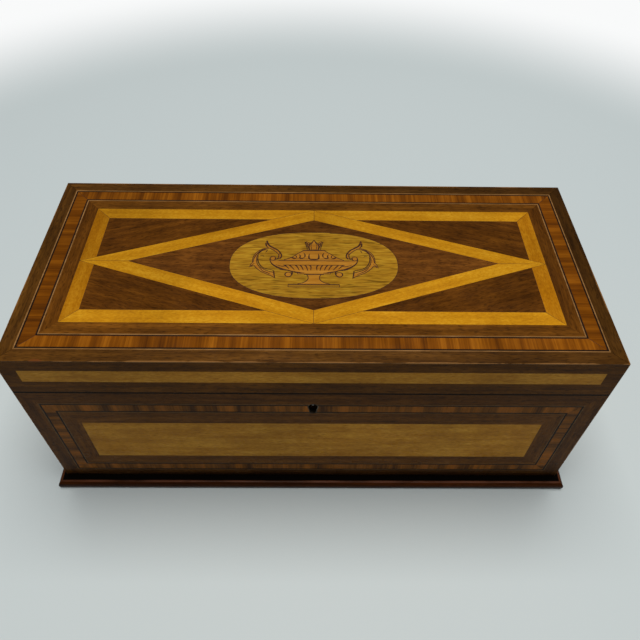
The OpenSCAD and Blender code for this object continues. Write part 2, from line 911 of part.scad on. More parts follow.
module left_hinge_pin() {
    hinge_pin(-1);
}

module right_hinge_pin() {
    hinge_pin(1);
}

module left_hinge_lid_leaf() {
    lid_leaf(-1);
}

module right_hinge_lid_leaf() {
    lid_leaf(1);
}

// Lid carcass

module lid_board() {
    color("sienna") block(carcass_l, carcass_d, rim_top, box_top - veneer_t);
}

module link_room() {
    translate([-lock_half_l, front_in - selvedge_w, lid_foot - over])
        cube([2 * lock_half_l, selvedge_w + over, lock_plate_t + over]);
    at_link_screws() screw(lock_screw_l);
}

module lid_front_rail() {
    color("saddlebrown")
        difference() {
            long_panel(-1, lid_foot + lipping_t, rim_top, lid_tails);
            link_room();
        }
}

module lid_back_rail() {
    color("saddlebrown")
        difference() {
            long_panel(1, lid_foot + lipping_t, rim_top, lid_tails);
            stop_groove();
            hinge_room_lid();
        }
}

module lid_left_rail() {
    color("sienna") lid_end(-1);
}

module lid_right_rail() {
    color("sienna") lid_end(1);
}

module lid_lipping() {
    color("saddlebrown")
        difference() {
            translate([0, 0, lid_foot])
                linear_extrude(lipping_t) mitred_frame(carcass_l, carcass_d, 0, board_t);
            stop_groove();
            hinge_room_lid();
            link_room();
        }
}

// Marquetry of the lid's top

module lid_border_veneer() {
    color("#5a3a22") on_lid() mitred_frame(box_l, box_d, 0, top_border);
}

module lid_boxwood_stringing() {
    color("wheat")
        on_lid() {
            ring(box_l, box_d, line1, line_w);
            ring(box_l, box_d, line4, line_w);
        }
}

module lid_ebony_stringing() {
    color("#1c1612")
        on_lid() {
            ring(box_l, box_d, line2, line_w);
            ring(box_l, box_d, line3, line_w);
        }
}

module lid_crossbanding() {
    color("#a5622a") on_lid() mitred_frame(box_l, box_d, band1, top_band);
}

module lid_ground_veneer() {
    color("#5a3a22") on_lid() ring(box_l, box_d, ground1, strap_inset - ground1);
}

module four_ways() {
    for (sx = [0, 1], sy = [0, 1]) mirror([sx, 0]) mirror([0, sy]) children();
}

// Straps are drawn for the quarter at +X +Y. The lozenge's outer corners lie on the frame's outline.
hair = joint_line / 2;

module lid_strap_frame() {
    meet_x = (strap_y - strap_in_y) / tan(lean);
    meet_y = (strap_x - strap_in_x) * tan(lean);
    color("#c79a3a")
        on_lid()
            four_ways() {
                polygon([[2 * hair / tan(lean), strap_y], [strap_x - hair, strap_y],
                    [strap_in_x - hair, strap_in_y], [meet_x + 2 * hair / tan(lean), strap_in_y]]);
                polygon([[strap_x, 2 * hair], [strap_x, strap_y - hair],
                    [strap_in_x, strap_in_y - hair], [strap_in_x, meet_y + 2 * hair]]);
            }
}

module lid_strap_lozenge() {
    color("#c79a3a")
        on_lid()
            four_ways()
                polygon([[hair, strap_y - hair * tan(lean)], [strap_x - hair / tan(lean), hair],
                    [field_x - hair / tan(lean), hair], [hair, field_y - hair * tan(lean)]]);
}

module lid_corner_fields() {
    color("#5a3a22")
        on_lid()
            four_ways()
                polygon([[(strap_y - strap_in_y) / tan(lean), strap_in_y], [strap_in_x, strap_in_y],
                    [strap_in_x, (strap_x - strap_in_x) * tan(lean)]]);
}

module lid_lozenge_field() {
    color("#5a3a22")
        on_lid()
            difference() {
                polygon([[field_x, 0], [0, field_y], [-field_x, 0], [0, -field_y]]);
                translate([0, -oval_drop]) polygon(oval_outline);
            }
}

module urn_pieces() {
    scale(urn_scale) {
        polygon(even(finial_half));
        polygon(even(cover_half));
        polygon(even(bowl_half));
        polygon(even(foot_half));
        polygon(even(base_half));
        for (side = [0, 1])
            mirror([side, 0]) {
                polygon(concat(handle_out, handle_in));
                polygon(concat(leaf_out, leaf_in));
                polygon(side_leaf);
                for (scroll = [rim_scroll, foot_scroll])
                    translate([scroll[0], scroll[1]]) circle(r = scroll[2]);
            }
    }
}

module lid_oval_panel() {
    color("#8a8436")
        on_lid()
            difference() {
                translate([0, -oval_drop]) polygon(oval_outline);
                urn_pieces();
            }
}

module urn_inlay() {
    color("#c98a3c") on_lid() urn_pieces();
}

// Sides of the lid

module strip_shape(l) {
    translate([-l / 2 + strip_side, -strip_top - strip_h]) square([l - 2 * strip_side, strip_h]);
}

module lid_side(l, gap) {
    difference() {
        translate([-l / 2 + gap, lid_foot - box_top]) square([l - 2 * gap, lid_h - veneer_t]);
        children();
    }
}

module lid_side_veneers() {
    color("#5a3a22")
        difference() {
            union() {
                on_front(box_top) lid_side(box_l, 0) strip_shape(box_l);
                on_ends(box_top) lid_side(box_d, veneer_t + joint_line) strip_shape(box_d);
                on_back(box_top) lid_side(box_l, 0);
            }
            stop_groove();
        }
}

module lid_satinwood_strips() {
    color("#c79a3a") {
        on_front(box_top) strip_shape(box_l);
        on_ends(box_top) strip_shape(box_d);
    }
}

module lid_lining() {
    color("#2f4a2c") block(inside_l - 0.2, inside_d - 0.2, rim_top - lining_t, rim_top);
}

module link_plate() {
    color("#b08d3c")
        difference() {
            union() {
                translate([-lock_half_l, front_in - selvedge_w, lid_foot])
                    cube([2 * lock_half_l, selvedge_w, lock_plate_t]);
                for (s = [-1, 1])
                    translate([s * staple_x - staple_t / 2, lock_y - staple_w / 2, lid_foot - staple_drop])
                        cube([staple_t, staple_w, staple_drop + lock_plate_t / 2]);
            }
            for (s = [-1, 1])
                translate([s * staple_x - staple_t, lock_y - eye_w / 2, lid_foot - staple_drop + eye_foot])
                    cube([2 * staple_t, eye_w, eye_h]);
            at_link_screws() screw(lock_screw_l);
        }
}

module lid_screws() {
    color("#b08d3c") {
        for (s = [-1, 1])
            at_leaf_screws(s) translate([0, 0, lid_foot]) rotate([180, 0, 0]) slotted_screw(hinge_screw_l);
        at_link_screws() slotted_screw(lock_screw_l);
    }
}

front_board();
back_board();
left_end_board();
right_end_board();
bottom_board();
front_plinth();
back_plinth();
left_plinth();
right_plinth();
case_lipping();
front_border_veneer();
front_crossbanding();
front_ground_veneer();
front_satinwood_panel();
end_border_veneers();
end_crossbandings();
end_ground_veneers();
end_satinwood_panels();
case_boxwood_stringing();
case_ebony_stringing();
case_back_veneer();
floor_lining();
wall_linings();
handle_rack();
blade_rack();
lock_plate();
lock_cap();
lock_spring();
lock_drill_pin();
case_screws();
keyhole_escutcheon();
left_hinge_case_leaf();
right_hinge_case_leaf();
left_hinge_pin();
right_hinge_pin();
lock_bolt();
lid_board();
lid_front_rail();
lid_back_rail();
lid_left_rail();
lid_right_rail();
lid_lipping();
lid_border_veneer();
lid_boxwood_stringing();
lid_ebony_stringing();
lid_crossbanding();
lid_ground_veneer();
lid_strap_frame();
lid_strap_lozenge();
lid_corner_fields();
lid_lozenge_field();
lid_oval_panel();
urn_inlay();
lid_side_veneers();
lid_satinwood_strips();
lid_lining();
left_hinge_lid_leaf();
right_hinge_lid_leaf();
link_plate();
lid_screws();
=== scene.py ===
import math

import bmesh
import bpy
from bpy.props import FloatProperty, FloatVectorProperty, PointerProperty
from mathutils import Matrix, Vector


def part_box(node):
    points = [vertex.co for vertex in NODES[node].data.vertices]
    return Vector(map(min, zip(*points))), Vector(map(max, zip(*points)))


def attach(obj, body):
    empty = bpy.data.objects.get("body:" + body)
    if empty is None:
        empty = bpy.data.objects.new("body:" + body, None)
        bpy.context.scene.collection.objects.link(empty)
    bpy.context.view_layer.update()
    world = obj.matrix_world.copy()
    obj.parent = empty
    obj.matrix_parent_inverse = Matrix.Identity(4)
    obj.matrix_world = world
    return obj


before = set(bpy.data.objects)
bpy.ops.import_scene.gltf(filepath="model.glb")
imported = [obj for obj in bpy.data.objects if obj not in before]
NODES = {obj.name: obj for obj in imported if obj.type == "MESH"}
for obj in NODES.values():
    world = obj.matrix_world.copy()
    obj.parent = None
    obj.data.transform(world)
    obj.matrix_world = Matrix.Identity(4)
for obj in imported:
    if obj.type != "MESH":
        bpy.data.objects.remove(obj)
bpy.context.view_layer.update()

bl_info = {
    "name": "Inlaid Knife Box",
    "version": (1, 0, 0),
    "blender": (4, 5, 0),
    "location": "3D View > Sidebar > Knife Box",
    "description": "Finishes, engraving and studio for a mahogany knife box with marquetry",
    "category": "Object",
}

# The frame's own box, kept from before anything is made
MM = 0.001

# Half sizes of the lid, the height of its top, and the half length of its oval, in metres
HALF_L, HALF_D, LID_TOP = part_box("lid_border_veneer")[1]
OVAL_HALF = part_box("lid_oval_panel")[1].x
# The angle at which the straps of the lozenge lean
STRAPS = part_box("lid_strap_frame")[1]
LEAN = math.atan2(STRAPS.y, STRAPS.x)
# Heights of the seam between lid and case, of the plinth's top and of its arris
SEAM = (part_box("lid_lipping")[0].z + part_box("case_lipping")[1].z) / 2
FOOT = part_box("front_plinth")[1].z
PLINTH_ARRIS = 0.0072
# Width of the seam's dirt and painted shade, and how far painted shade and dirt reach above the plinth, thick
# and thin
SEAM_WIDTH = 0.0011
FOOT_GRIME_AND_SHADE = 0.0085
FOOT_HAZE_AND_SHADE = 5 * FOOT_GRIME_AND_SHADE
# Widths of the crossbanding on the lid and on the sides
TOP_BAND = 0.0094
SIDE_BAND = 0.0079
# Where the urn's base begins, seen from the lid's middle
URN_BASE_TOP = -0.0213
# Middle and half sizes of the chip in the lid's front edge
CHIP_PLACE = (-0.1675, 0.2 * MM - HALF_D, LID_TOP)
CHIP_SIZE = (0.0040, 0.0016, 0.0009)


def tint(*levels):
    """Levels as the eye reads them, 0 to 255, in the linear numbers that shaders take."""
    shares = [level / 255 for level in levels]
    return tuple(share / 12.92 if share <= 0.04045 else ((share + 0.055) / 1.055) ** 2.4 for share in shares)


def colour(name, about, *levels):
    """A colour setting, its default given as the eye reads it, 0 to 255."""
    return FloatVectorProperty(
        name=name, description=about, subtype="COLOR", size=3, min=0, max=1, default=tint(*levels)
    )


def number(name, about, default, low, high, unit="NONE"):
    """A number setting with its limits."""
    return FloatProperty(name=name, description=about, default=default, min=low, max=high, unit=unit)


def numbers(name, about, default, kind="NONE", unit="LENGTH"):
    """A setting of two or three numbers."""
    return FloatVectorProperty(
        name=name, description=about, default=default, size=len(default), subtype=kind, unit=unit
    )


# Each wood's title, what it is used for, and its dark, middle and light tones as the eye reads them
WOOD_TONES = {
    "mahogany": ("Mahogany", "the mahogany veneer", (50, 29, 9), (78, 49, 15), (106, 70, 26)),
    "field": ("Field", "the fields between the straps", (62, 33, 9), (97, 56, 17), (130, 79, 26)),
    "band": ("Crossbanding", "the crossbanding", (74, 37, 5), (118, 65, 7), (152, 90, 16)),
    "side_band": ("Side crossbanding", "the side crossbanding", (68, 40, 14), (114, 69, 19), (146, 86, 24)),
    "satinwood": ("Satinwood", "the satinwood", (158, 102, 12), (185, 127, 18), (212, 158, 38)),
    "panel": ("Side panel", "the side panels of satinwood", (148, 96, 26), (178, 124, 41), (212, 158, 62)),
    "oval": ("Oval", "the green-stained oval", (116, 80, 18), (152, 110, 25), (176, 138, 38)),
    "urn": ("Urn", "the urn", (138, 84, 26), (165, 109, 31), (192, 136, 54)),
    "boxwood": ("Boxwood", "the boxwood stringing", (104, 72, 38), (136, 98, 56), (164, 124, 78)),
    "ebony": ("Ebonised line", "the ebonised stringing", (12, 8, 5), (22, 14, 9), (36, 24, 15)),
    "plinth": ("Plinth", "the plinth moulding", (38, 17, 4), (60, 28, 5), (84, 40, 10)),
    "carcass": ("Carcass", "the carcass boards", (74, 42, 22), (108, 66, 36), (140, 90, 52)),
}
# Endings of a tone's setting and of its title, and the tone in words
TONE_WORDS = (("_dark", ", dark", "Dark"), ("", "", "Middle"), ("_light", ", light", "Light"))


class KnifeBoxWoods(bpy.types.PropertyGroup):
    """Colours of the woods, each as dark, middle and light tone."""

    # The arris line of the plinth: rubbed wood and a painted highlight
    plinth_rubbed_highlight: colour("Plinth, rubbed", "Rubbed line along the arris of the plinth", 112, 66, 44)
    # Bare wood on rubbed edges, which also serves as a painted highlight along the arrises
    worn: colour("Bare wood", "Wood laid bare where an edge is rubbed or chipped", 158, 112, 62)
    chipped: colour("Chipped wood", "Broken wood in the chip of the front edge", 104, 58, 24)
    glue: colour("Joint line", "Dark glue and dirt in the joints and in the engraving", 58, 25, 4)
    # Dirt, and painted shade: in the seam's gap, at the case's foot, and on the plinth's ledge and foot
    grime_and_shade: colour("Grime", "Dirt in the seams, round the foot and on the plinth's ledge", 14, 8, 5)


for wood_key, (title, about, *levels_of) in WOOD_TONES.items():
    for (suffix, word, part), levels in zip(TONE_WORDS, levels_of):
        KnifeBoxWoods.__annotations__[wood_key + suffix] = colour(
            title + word, f"{part} tone of {about}", *levels
        )


class KnifeBoxFinishes(bpy.types.PropertyGroup):
    """Polish, metals and cloth."""

    polish: number("Polish roughness", "Roughness of the old wax and shellac", 0.26, 0.05, 1)
    gloss: number("Polish gloss", "How strongly the polished wood mirrors", 0.05, 0, 1)
    wear: number("Wear", "How much of the outer edges is rubbed", 0.55, 0, 1)
    wear_width: number(
        "Wear width", "How far the rubbing reaches in from an edge", 0.6 * MM, 0, 3 * MM, "LENGTH"
    )
    brass: colour("Brass", "Lacquered and tarnished brass", 176, 136, 70)
    brass_dark: colour("Brass, tarnished", "Tarnish in the corners of the brass", 96, 66, 30)
    steel: colour("Steel", "Blued steel of the spring and pins", 92, 90, 88)
    steel_dark: colour("Steel, dull", "Dulled patches of the steel", 48, 44, 40)
    escutcheon: colour("Escutcheon", "Dulled metal round the keyhole", 88, 77, 62)
    escutcheon_dark: colour("Escutcheon, dull", "Dirt in the escutcheon's corners", 40, 32, 24)
    baize: colour("Baize", "Green cloth of the linings", 40, 72, 44)
    baize_dark: colour("Baize, dark", "Worn and shaded pile of the cloth", 24, 46, 28)


class KnifeBoxEngraving(bpy.types.PropertyGroup):
    """Engraved lines of the urn and the glue lines between the inlays."""

    outline_width: number(
        "Outline width", "Width of the line round each piece of the urn", 0.6 * MM, 0.1 * MM, 1 * MM, "LENGTH"
    )
    stroke_width: number(
        "Stroke width", "Full width of the engraved strokes of the urn", 0.8 * MM, 0.1 * MM, 1 * MM, "LENGTH"
    )
    joint_width: number(
        "Joint width", "Width of the dark line between two inlays", 0.24 * MM, 0.05 * MM, 0.6 * MM, "LENGTH"
    )
    stand: number(
        "Height", "How far a line stands above the veneer", 0.02 * MM, 0.005 * MM, 0.1 * MM, "LENGTH"
    )


class KnifeBoxStudio(bpy.types.PropertyGroup):
    """Camera, lamp, floor and backdrop."""

    lens: number("Lens", "Focal length in millimetres", 34.165, 10, 200)
    place: numbers("Camera place", "Place of the camera", (-0.000958, -0.303899, 0.456626), "TRANSLATION")
    turn: numbers(
        "Camera turn", "Turn of the camera about X, Y and Z",
        (math.radians(40.266), math.radians(-0.803), math.radians(-0.2)), "EULER", "ROTATION",
    )
    lamp_power: number("Lamp power", "Power of the soft lamp overhead", 62, 0, 500, "POWER")
    lamp_place: numbers("Lamp place", "Place of the soft lamp", (0.1, 0.22, 2.6), "TRANSLATION")
    lamp_size: number("Lamp size", "Side of the soft lamp", 1.8, 0.1, 5, "LENGTH")
    sky: number("Sky", "Strength of the light from all round", 0.14, 0, 2)
    floor_size: number("Floor size", "Side of the pale floor", 6, 1, 20, "LENGTH")
    fade: numbers("Floor fade", "Distances between which the floor fades to white", (0.6, 0.9))
    floor_turn: numbers("Floor turn", "Where the floor's tone changes, front and back", (-0.3, 0.35))
    floor_near: colour("Floor, near", "The pale floor in front of the box", 207, 216, 217)
    floor_far: colour("Floor, far", "The pale floor behind the box", 201, 211, 213)
    backdrop: colour("Backdrop", "The white distance beyond the floor", 249, 250, 250)


PROPERTY_GROUPS = {
    "knife_box_woods": KnifeBoxWoods,
    "knife_box_finishes": KnifeBoxFinishes,
    "knife_box_engraving": KnifeBoxEngraving,
    "knife_box_studio": KnifeBoxStudio,
}


def woods():
    return bpy.context.scene.knife_box_woods


def finishes():
    return bpy.context.scene.knife_box_finishes


# Material nodes

class Finish:
    """One material, and the short calls that build its nodes."""

    def __init__(self, name):
        self.material = bpy.data.materials.new(name)
        self.material.use_nodes = True
        self.tree = self.material.node_tree
        self.shader = self.tree.nodes["Principled BSDF"]
        self.place = self.node("TexCoord").outputs["Object"]
        # Which sides of a frame are its ends, and how far in from its rim a place lies
        self.side = None
        self.depth = None

    def feed(self, socket, value):
        """Links a socket, or gives it a number or a colour."""
        if isinstance(value, bpy.types.NodeSocket):
            self.tree.links.new(value, socket)
        elif value is not None:
            socket.default_value = value

    def node(self, kind, settings=None, **inputs):
        """A new node, with its inputs named by their labels."""
        made = self.tree.nodes.new("ShaderNode" + kind)
        for key, value in (settings or {}).items():
            setattr(made, key, value)
        for key, value in inputs.items():
            self.feed(made.inputs[key.replace("_", " ")], value)
        return made

    def calc(self, operation, *values):
        """One step of arithmetic."""
        made = self.node("Math", {"operation": operation})
        for socket, value in zip(made.inputs, values):
            self.feed(socket, value)
        return made.outputs[0]

    def split(self, vector):
        return self.node("SeparateXYZ", Vector=vector).outputs

    def join(self, x, y, z):
        return self.node("CombineXYZ", X=x, Y=y, Z=z).outputs[0]

    def length(self, vector):
        return self.node("VectorMath", {"operation": "LENGTH"}, Vector=vector).outputs["Value"]

    def mapped(self, vector, scale=(1, 1, 1), shift=(0, 0, 0), turn=(0, 0, 0)):
        return self.node("Mapping", Vector=vector, Scale=scale, Location=shift, Rotation=turn).outputs[0]

    def noise(self, vector, scale, detail=2, rough=0.5):
        """Noise over a vector, with a scale per metre along each axis."""
        way = self.mapped(vector, scale=scale)
        return self.node("TexNoise", Vector=way, Scale=1, Detail=detail, Roughness=rough).outputs[0]

    def grade(self, value, low, high, to_low=0, to_high=1):
        """A smooth change from one number to another while a value runs from low to high."""
        made = self.node("MapRange", {"interpolation_type": "SMOOTHSTEP"}, Value=value)
        for key, number in (("From Min", low), ("From Max", high), ("To Min", to_low), ("To Max", to_high)):
            self.feed(made.inputs[key], number)
        return made.outputs[0]

    def tones(self, value, dark, middle, light, spread=(0.3, 0.5, 0.7)):
        """A ramp through three tones, each at its own place in the spread."""
        ramp = self.node("ValToRGB", Fac=value)
        stops = ramp.color_ramp.elements
        stops[0].position, stops[1].position = spread[0], spread[2]
        stops.new(spread[1])
        for stop, shade in zip(stops, (dark, middle, light)):
            stop.color = (*shade, 1)
        return ramp.outputs[0]

    def mix(self, share, first, second, blend="MIX"):
        made = self.node("Mix", {"data_type": "RGBA", "blend_type": blend})
        self.feed(made.inputs[0], share)
        for socket, value in ((made.inputs[6], first), (made.inputs[7], second)):
            if not isinstance(value, bpy.types.NodeSocket):
                value = (*value, 1)
            self.feed(socket, value)
        return made.outputs[2]

    def times(self, shade, tone):
        """A shade multiplied by a tone."""
        return self.mix(1.0, shade, tone, "MULTIPLY")

    def bump(self, height, strength, distance, below=None):
        return self.node("Bump", Height=height, Strength=strength, Distance=distance, Normal=below).outputs[0]

    def set(self, **inputs):
        """Feeds the inputs of the material's shader."""
        for key, value in inputs.items():
            self.feed(self.shader.inputs[key.replace("_", " ")], value)


# Which way the grain runs: each lay gives a vector with X along the grain and Y across it

TURNS = {"x": 0, "y": math.radians(90)}
# The two axes in the plane of a frame, and the one that points out of it
PLANES = {"top": (0, 1, 2), "front": (0, 2, 1), "ends": (1, 2, 0)}
# Steps in depth through the grain, so that no two faces, sides or quarters show the same wood
FACE_STEP = 0.31
SIDE_STEP = 0.17
QUARTER_STEP = 0.4
# How far the grain of the corner fields leans
FIELD_SLOPE = 0.3


def straight(axis):
    """Grain that runs along X or along Y."""
    def lay(finish, node):
        return finish.mapped(finish.place, turn=(0, 0, TURNS[axis]))
    return lay


def round_a_frame(plane, across=False):
    """Grain that turns the corner with each side of a mitred frame, or lies across each side."""
    a, b, out = PLANES[plane]

    def lay(finish, node):
        low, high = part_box(node)
        middle = (low + high) / 2
        half = (high - low) / 2
        parts = finish.split(finish.mapped(finish.place, shift=tuple(-middle)))
        from_a = finish.calc("SUBTRACT", half[a], finish.calc("ABSOLUTE", parts[a]))
        from_b = finish.calc("SUBTRACT", half[b], finish.calc("ABSOLUTE", parts[b]))
        finish.side = finish.calc("LESS_THAN", from_a, from_b)
        finish.depth = finish.calc("MINIMUM", from_a, from_b)
        swap = finish.calc("MULTIPLY", finish.side, finish.calc("SUBTRACT", parts[b], parts[a]))
        along = finish.calc("ADD", parts[a], swap)
        over = finish.calc("SUBTRACT", parts[b], swap)
        leaf = finish.calc("MULTIPLY", finish.side, SIDE_STEP)
        leaf = finish.calc("MULTIPLY_ADD", finish.calc("SIGN", parts[out]), FACE_STEP, leaf)
        return finish.join(over, along, leaf) if across else finish.join(along, over, leaf)
    return lay


def quarter(finish, parts):
    """A different leaf of veneer in each quarter of the lid."""
    return finish.calc(
        "MULTIPLY_ADD", finish.calc("SIGN", parts[0]), QUARTER_STEP, finish.calc("SIGN", parts[1])
    )


def lozenge(finish, node):
    """Grain along each leaning strap."""
    parts = finish.split(finish.place)
    x, y = finish.calc("ABSOLUTE", parts[0]), finish.calc("ABSOLUTE", parts[1])
    lean_cos, lean_sin = math.cos(LEAN), math.sin(LEAN)
    along = finish.calc(
        "SUBTRACT", finish.calc("MULTIPLY", x, lean_cos), finish.calc("MULTIPLY", y, lean_sin)
    )
    over = finish.calc("ADD", finish.calc("MULTIPLY", x, lean_sin), finish.calc("MULTIPLY", y, lean_cos))
    return finish.join(along, over, quarter(finish, parts))


def quarters(finish, node):
    """Grain that leans a little, mirrored from quarter to quarter."""
    parts = finish.split(finish.place)
    slope = finish.calc("MULTIPLY", finish.calc("ABSOLUTE", parts[0]), FIELD_SLOPE)
    over = finish.calc("ADD", finish.calc("ABSOLUTE", parts[1]), slope)
    return finish.join(parts[0], over, quarter(finish, parts))


# Woods: scales per metre along and across the grain of the streaks, the fine grain and the pores, how
# strongly pores and figure show, the grain's share of the tone, its wander, and where the three tones lie
WOODS = {
    "mahogany": {
        "streak": (14, 230), "grain": (150, 1000), "pore": (230, 1100), "pores": 0.42, "figure": 0.16,
        "spread": (0.3, 0.52, 0.78),
    },
    "field": {
        "streak": (30, 250), "grain": (230, 1000), "pore": (300, 1100), "pores": 0.42, "figure": 0.28,
        "bend": 0.006, "spread": (0.28, 0.5, 0.76),
    },
    "band": {
        "streak": (4, 150), "grain": (20, 800), "fine": 0.3, "pore": (120, 1500), "pores": 0.14,
        "figure": 0.12, "bend": 0.001, "spread": (0.3, 0.5, 0.66),
    },
    "side band": {
        "streak": (4, 130), "grain": (20, 700), "fine": 0.26, "pore": (120, 1500), "pores": 0.14,
        "figure": 0.12, "bend": 0.001, "spread": (0.36, 0.5, 0.64),
    },
    "satinwood": {
        "streak": (14, 150), "grain": (420, 1000), "fine": 0.46, "pore": (420, 1100), "pores": 0.14,
        "figure": 0.2, "spread": (0.28, 0.5, 0.74),
    },
    "panel": {
        "streak": (16, 150), "grain": (280, 760), "fine": 0.44, "pore": (260, 1000), "pores": 0.2,
        "figure": 0.26, "spread": (0.27, 0.5, 0.75),
    },
    "oval": {
        "streak": (55, 420), "grain": (120, 1100), "fine": 0.44, "pore": (100, 1300), "pores": 0.62,
        "figure": 0.1, "bend": 0.004, "spread": (0.3, 0.48, 0.68),
    },
    "urn": {
        "streak": (30, 300), "grain": (90, 1500), "pore": (260, 2200), "pores": 0.16, "figure": 0.1,
        "spread": (0.25, 0.5, 0.75),
    },
    "boxwood": {
        "streak": (60, 240), "grain": (200, 1800), "pore": (500, 3000), "pores": 0.1, "figure": 0.1,
        "spread": (0.3, 0.5, 0.72),
    },
    "plinth": {
        "streak": (5, 130), "grain": (30, 1000), "pore": (200, 2300), "pores": 0.35, "figure": 0.2,
        "spread": (0.3, 0.5, 0.74),
    },
    "carcass": {
        "streak": (5, 90), "grain": (30, 900), "pore": (180, 2200), "pores": 0.45, "figure": 0.2,
        "spread": (0.3, 0.5, 0.74),
    },
}
WOODS["ebony"] = {**WOODS["boxwood"], "pores": 0.2}
# The fine grain's share of the tone and the grain's wander in metres, where a wood has none of its own
FINE = 0.38
BEND = 0.007
# Scales of the slow drift and of the figure, shared by all woods
DRIFT_SCALE = (9, 26, 9)
FIGURE_SCALE = (70, 34, 34)
# Noise between which a pore opens, how dark it is and how deep it lies
PORE_OPENS = (0.56, 0.68)
PORE_DARK = 0.28
PORE_DEPTH = 0.8
# Slow clouds in the polish, as tones that multiply a wood's colour
CLOUD_TONES = ((0.84, 0.84, 0.84), (1, 1, 1), (1.12, 1.1, 1.08))


def along_and_across(scales):
    along, across = scales
    return (along, across, across)


def grain_colour(finish, wood_name, way):
    """Colour and height of a wood from a vector along and across its grain."""
    kind = WOODS[wood_name]
    tone_name = wood_name.replace(" ", "_")
    shades = [getattr(woods(), key) for key in (tone_name + "_dark", tone_name, tone_name + "_light")]
    parts = finish.split(way)
    drift = finish.calc("SUBTRACT", finish.noise(way, DRIFT_SCALE), 0.5)
    bend = finish.calc("MULTIPLY", drift, kind.get("bend", BEND))
    path = finish.join(parts[0], finish.calc("ADD", parts[1], bend), finish.calc("ADD", parts[2], bend))
    streak = finish.noise(path, along_and_across(kind["streak"]), detail=3, rough=0.55)
    grain = finish.noise(path, along_and_across(kind["grain"]), rough=0.6)
    figure = finish.calc("SUBTRACT", finish.noise(way, FIGURE_SCALE, rough=0.6), 0.5)
    fine = kind.get("fine", FINE)
    tone = finish.calc(
        "ADD", finish.calc("MULTIPLY", streak, 1 - fine), finish.calc("MULTIPLY", grain, fine)
    )
    tone = finish.calc("ADD", tone, finish.calc("MULTIPLY", figure, kind["figure"]))
    shade = finish.tones(tone, *shades, spread=kind["spread"])
    pore = finish.noise(path, along_and_across(kind["pore"]), detail=1, rough=0.4)
    open_pore = finish.grade(pore, *PORE_OPENS)
    dark = tuple(PORE_DARK * value for value in shades[0])
    shade = finish.mix(finish.calc("MULTIPLY", open_pore, kind["pores"]), shade, dark)
    height = finish.calc("SUBTRACT", grain, finish.calc("MULTIPLY", open_pore, PORE_DEPTH))
    return shade, height


# Age, tone and painted light: each takes a shade and gives a new one

def distances_in(finish):
    """How far a place lies in from the box's ends, from its sides and from its top."""
    x, y, z = finish.split(finish.place)
    from_end = finish.calc("SUBTRACT", HALF_L, finish.calc("ABSOLUTE", x))
    from_side = finish.calc("SUBTRACT", HALF_D, finish.calc("ABSOLUTE", y))
    from_top = finish.calc("ABSOLUTE", finish.calc("SUBTRACT", LID_TOP, z))
    return from_end, from_side, from_top


def rubbed_and_highlit_edges(finish, shade):
    """Bare, lighter wood in patches along the outer edges of the lid and the case, also a painted highlight
    on the arrises.
    """
    from_end, from_side, from_top = distances_in(finish)
    corner = finish.calc("MAXIMUM", from_end, from_side)
    end_edge = finish.calc("MAXIMUM", from_end, from_top)
    side_edge = finish.calc("MAXIMUM", from_side, from_top)
    edge = finish.calc("MINIMUM", corner, finish.calc("MINIMUM", end_edge, side_edge))
    patch = finish.noise(finish.place, (28, 34, 60), detail=4, rough=0.65)
    reach = finish.calc("MULTIPLY", finish.grade(patch, 0.4, 0.62, 0.15, 1.6), finishes().wear_width)
    near = finish.grade(finish.calc("SUBTRACT", reach, edge), 0, 0.25 * MM)
    worn = finish.calc("MULTIPLY", near, finishes().wear)
    return finish.mix(worn, shade, tuple(woods().worn))


def grimy_and_shaded(finish, shade):
    """Dirt with painted shade along the seam between lid and case, and painted shade with dirt above the
    plinth.
    """
    grime_and_shade = tuple(woods().grime_and_shade)
    from_end, from_side, from_top = distances_in(finish)
    height = finish.split(finish.place)[2]
    outside = finish.grade(finish.calc("MINIMUM", from_end, from_side), 0.3 * MM, 0.4 * MM, 1, 0)
    from_seam = finish.calc("ABSOLUTE", finish.calc("SUBTRACT", height, SEAM))
    seam = finish.grade(from_seam, SEAM_WIDTH / 2, SEAM_WIDTH, 0.92, 0)
    # Painted shade of the gap at the seam, with dirt
    shade = finish.mix(finish.calc("MULTIPLY", seam, outside), shade, grime_and_shade)
    # Painted shade with some dirt above the plinth: a thin haze and a dark band
    for reach, strength in ((FOOT_HAZE_AND_SHADE, 0.35), (FOOT_GRIME_AND_SHADE, 1)):
        shade = finish.mix(finish.grade(height, FOOT, FOOT + reach, strength, 0), shade, grime_and_shade)
    return shade


def chipped(finish, shade):
    """Broken wood in the small chip of the lid's front edge."""
    bite = finish.mapped(finish.place, shift=tuple(-value for value in CHIP_PLACE))
    bite = finish.mapped(bite, scale=tuple(1 / value for value in CHIP_SIZE))
    ragged = finish.calc("ADD", finish.length(bite), finish.noise(finish.place, (900, 900, 900)))
    return finish.mix(finish.grade(ragged, 1.35, 1.6, 0.9, 0), shade, tuple(woods().chipped))


def dark_margins(finish, shade, width):
    """The ebonised glue line along both margins of a band of a given width."""
    outer = finish.calc("ABSOLUTE", finish.depth)
    inner = finish.calc("ABSOLUTE", finish.calc("SUBTRACT", width, finish.depth))
    near = finish.grade(finish.calc("MINIMUM", outer, inner), 0.2 * MM, 0.55 * MM, 0.9, 0)
    return finish.mix(near, shade, tuple(woods().ebony))


def faded(finish, shade, across, back):
    """A tone that changes from left to right and from front to back."""
    parts = finish.split(finish.place)
    swing = finish.calc("MULTIPLY_ADD", parts[0], across / HALF_L, 1.0)
    swing = finish.calc("MULTIPLY_ADD", parts[1], back / HALF_D, swing)
    return finish.times(shade, swing)


def darker_middle(finish, shade, tone):
    """A shade that falls to a share of its tone round the oval."""
    from_middle = finish.calc("ABSOLUTE", finish.split(finish.place)[0])
    return finish.times(shade, finish.grade(from_middle, 0.7 * OVAL_HALF, 1.3 * OVAL_HALF, tone, 1))


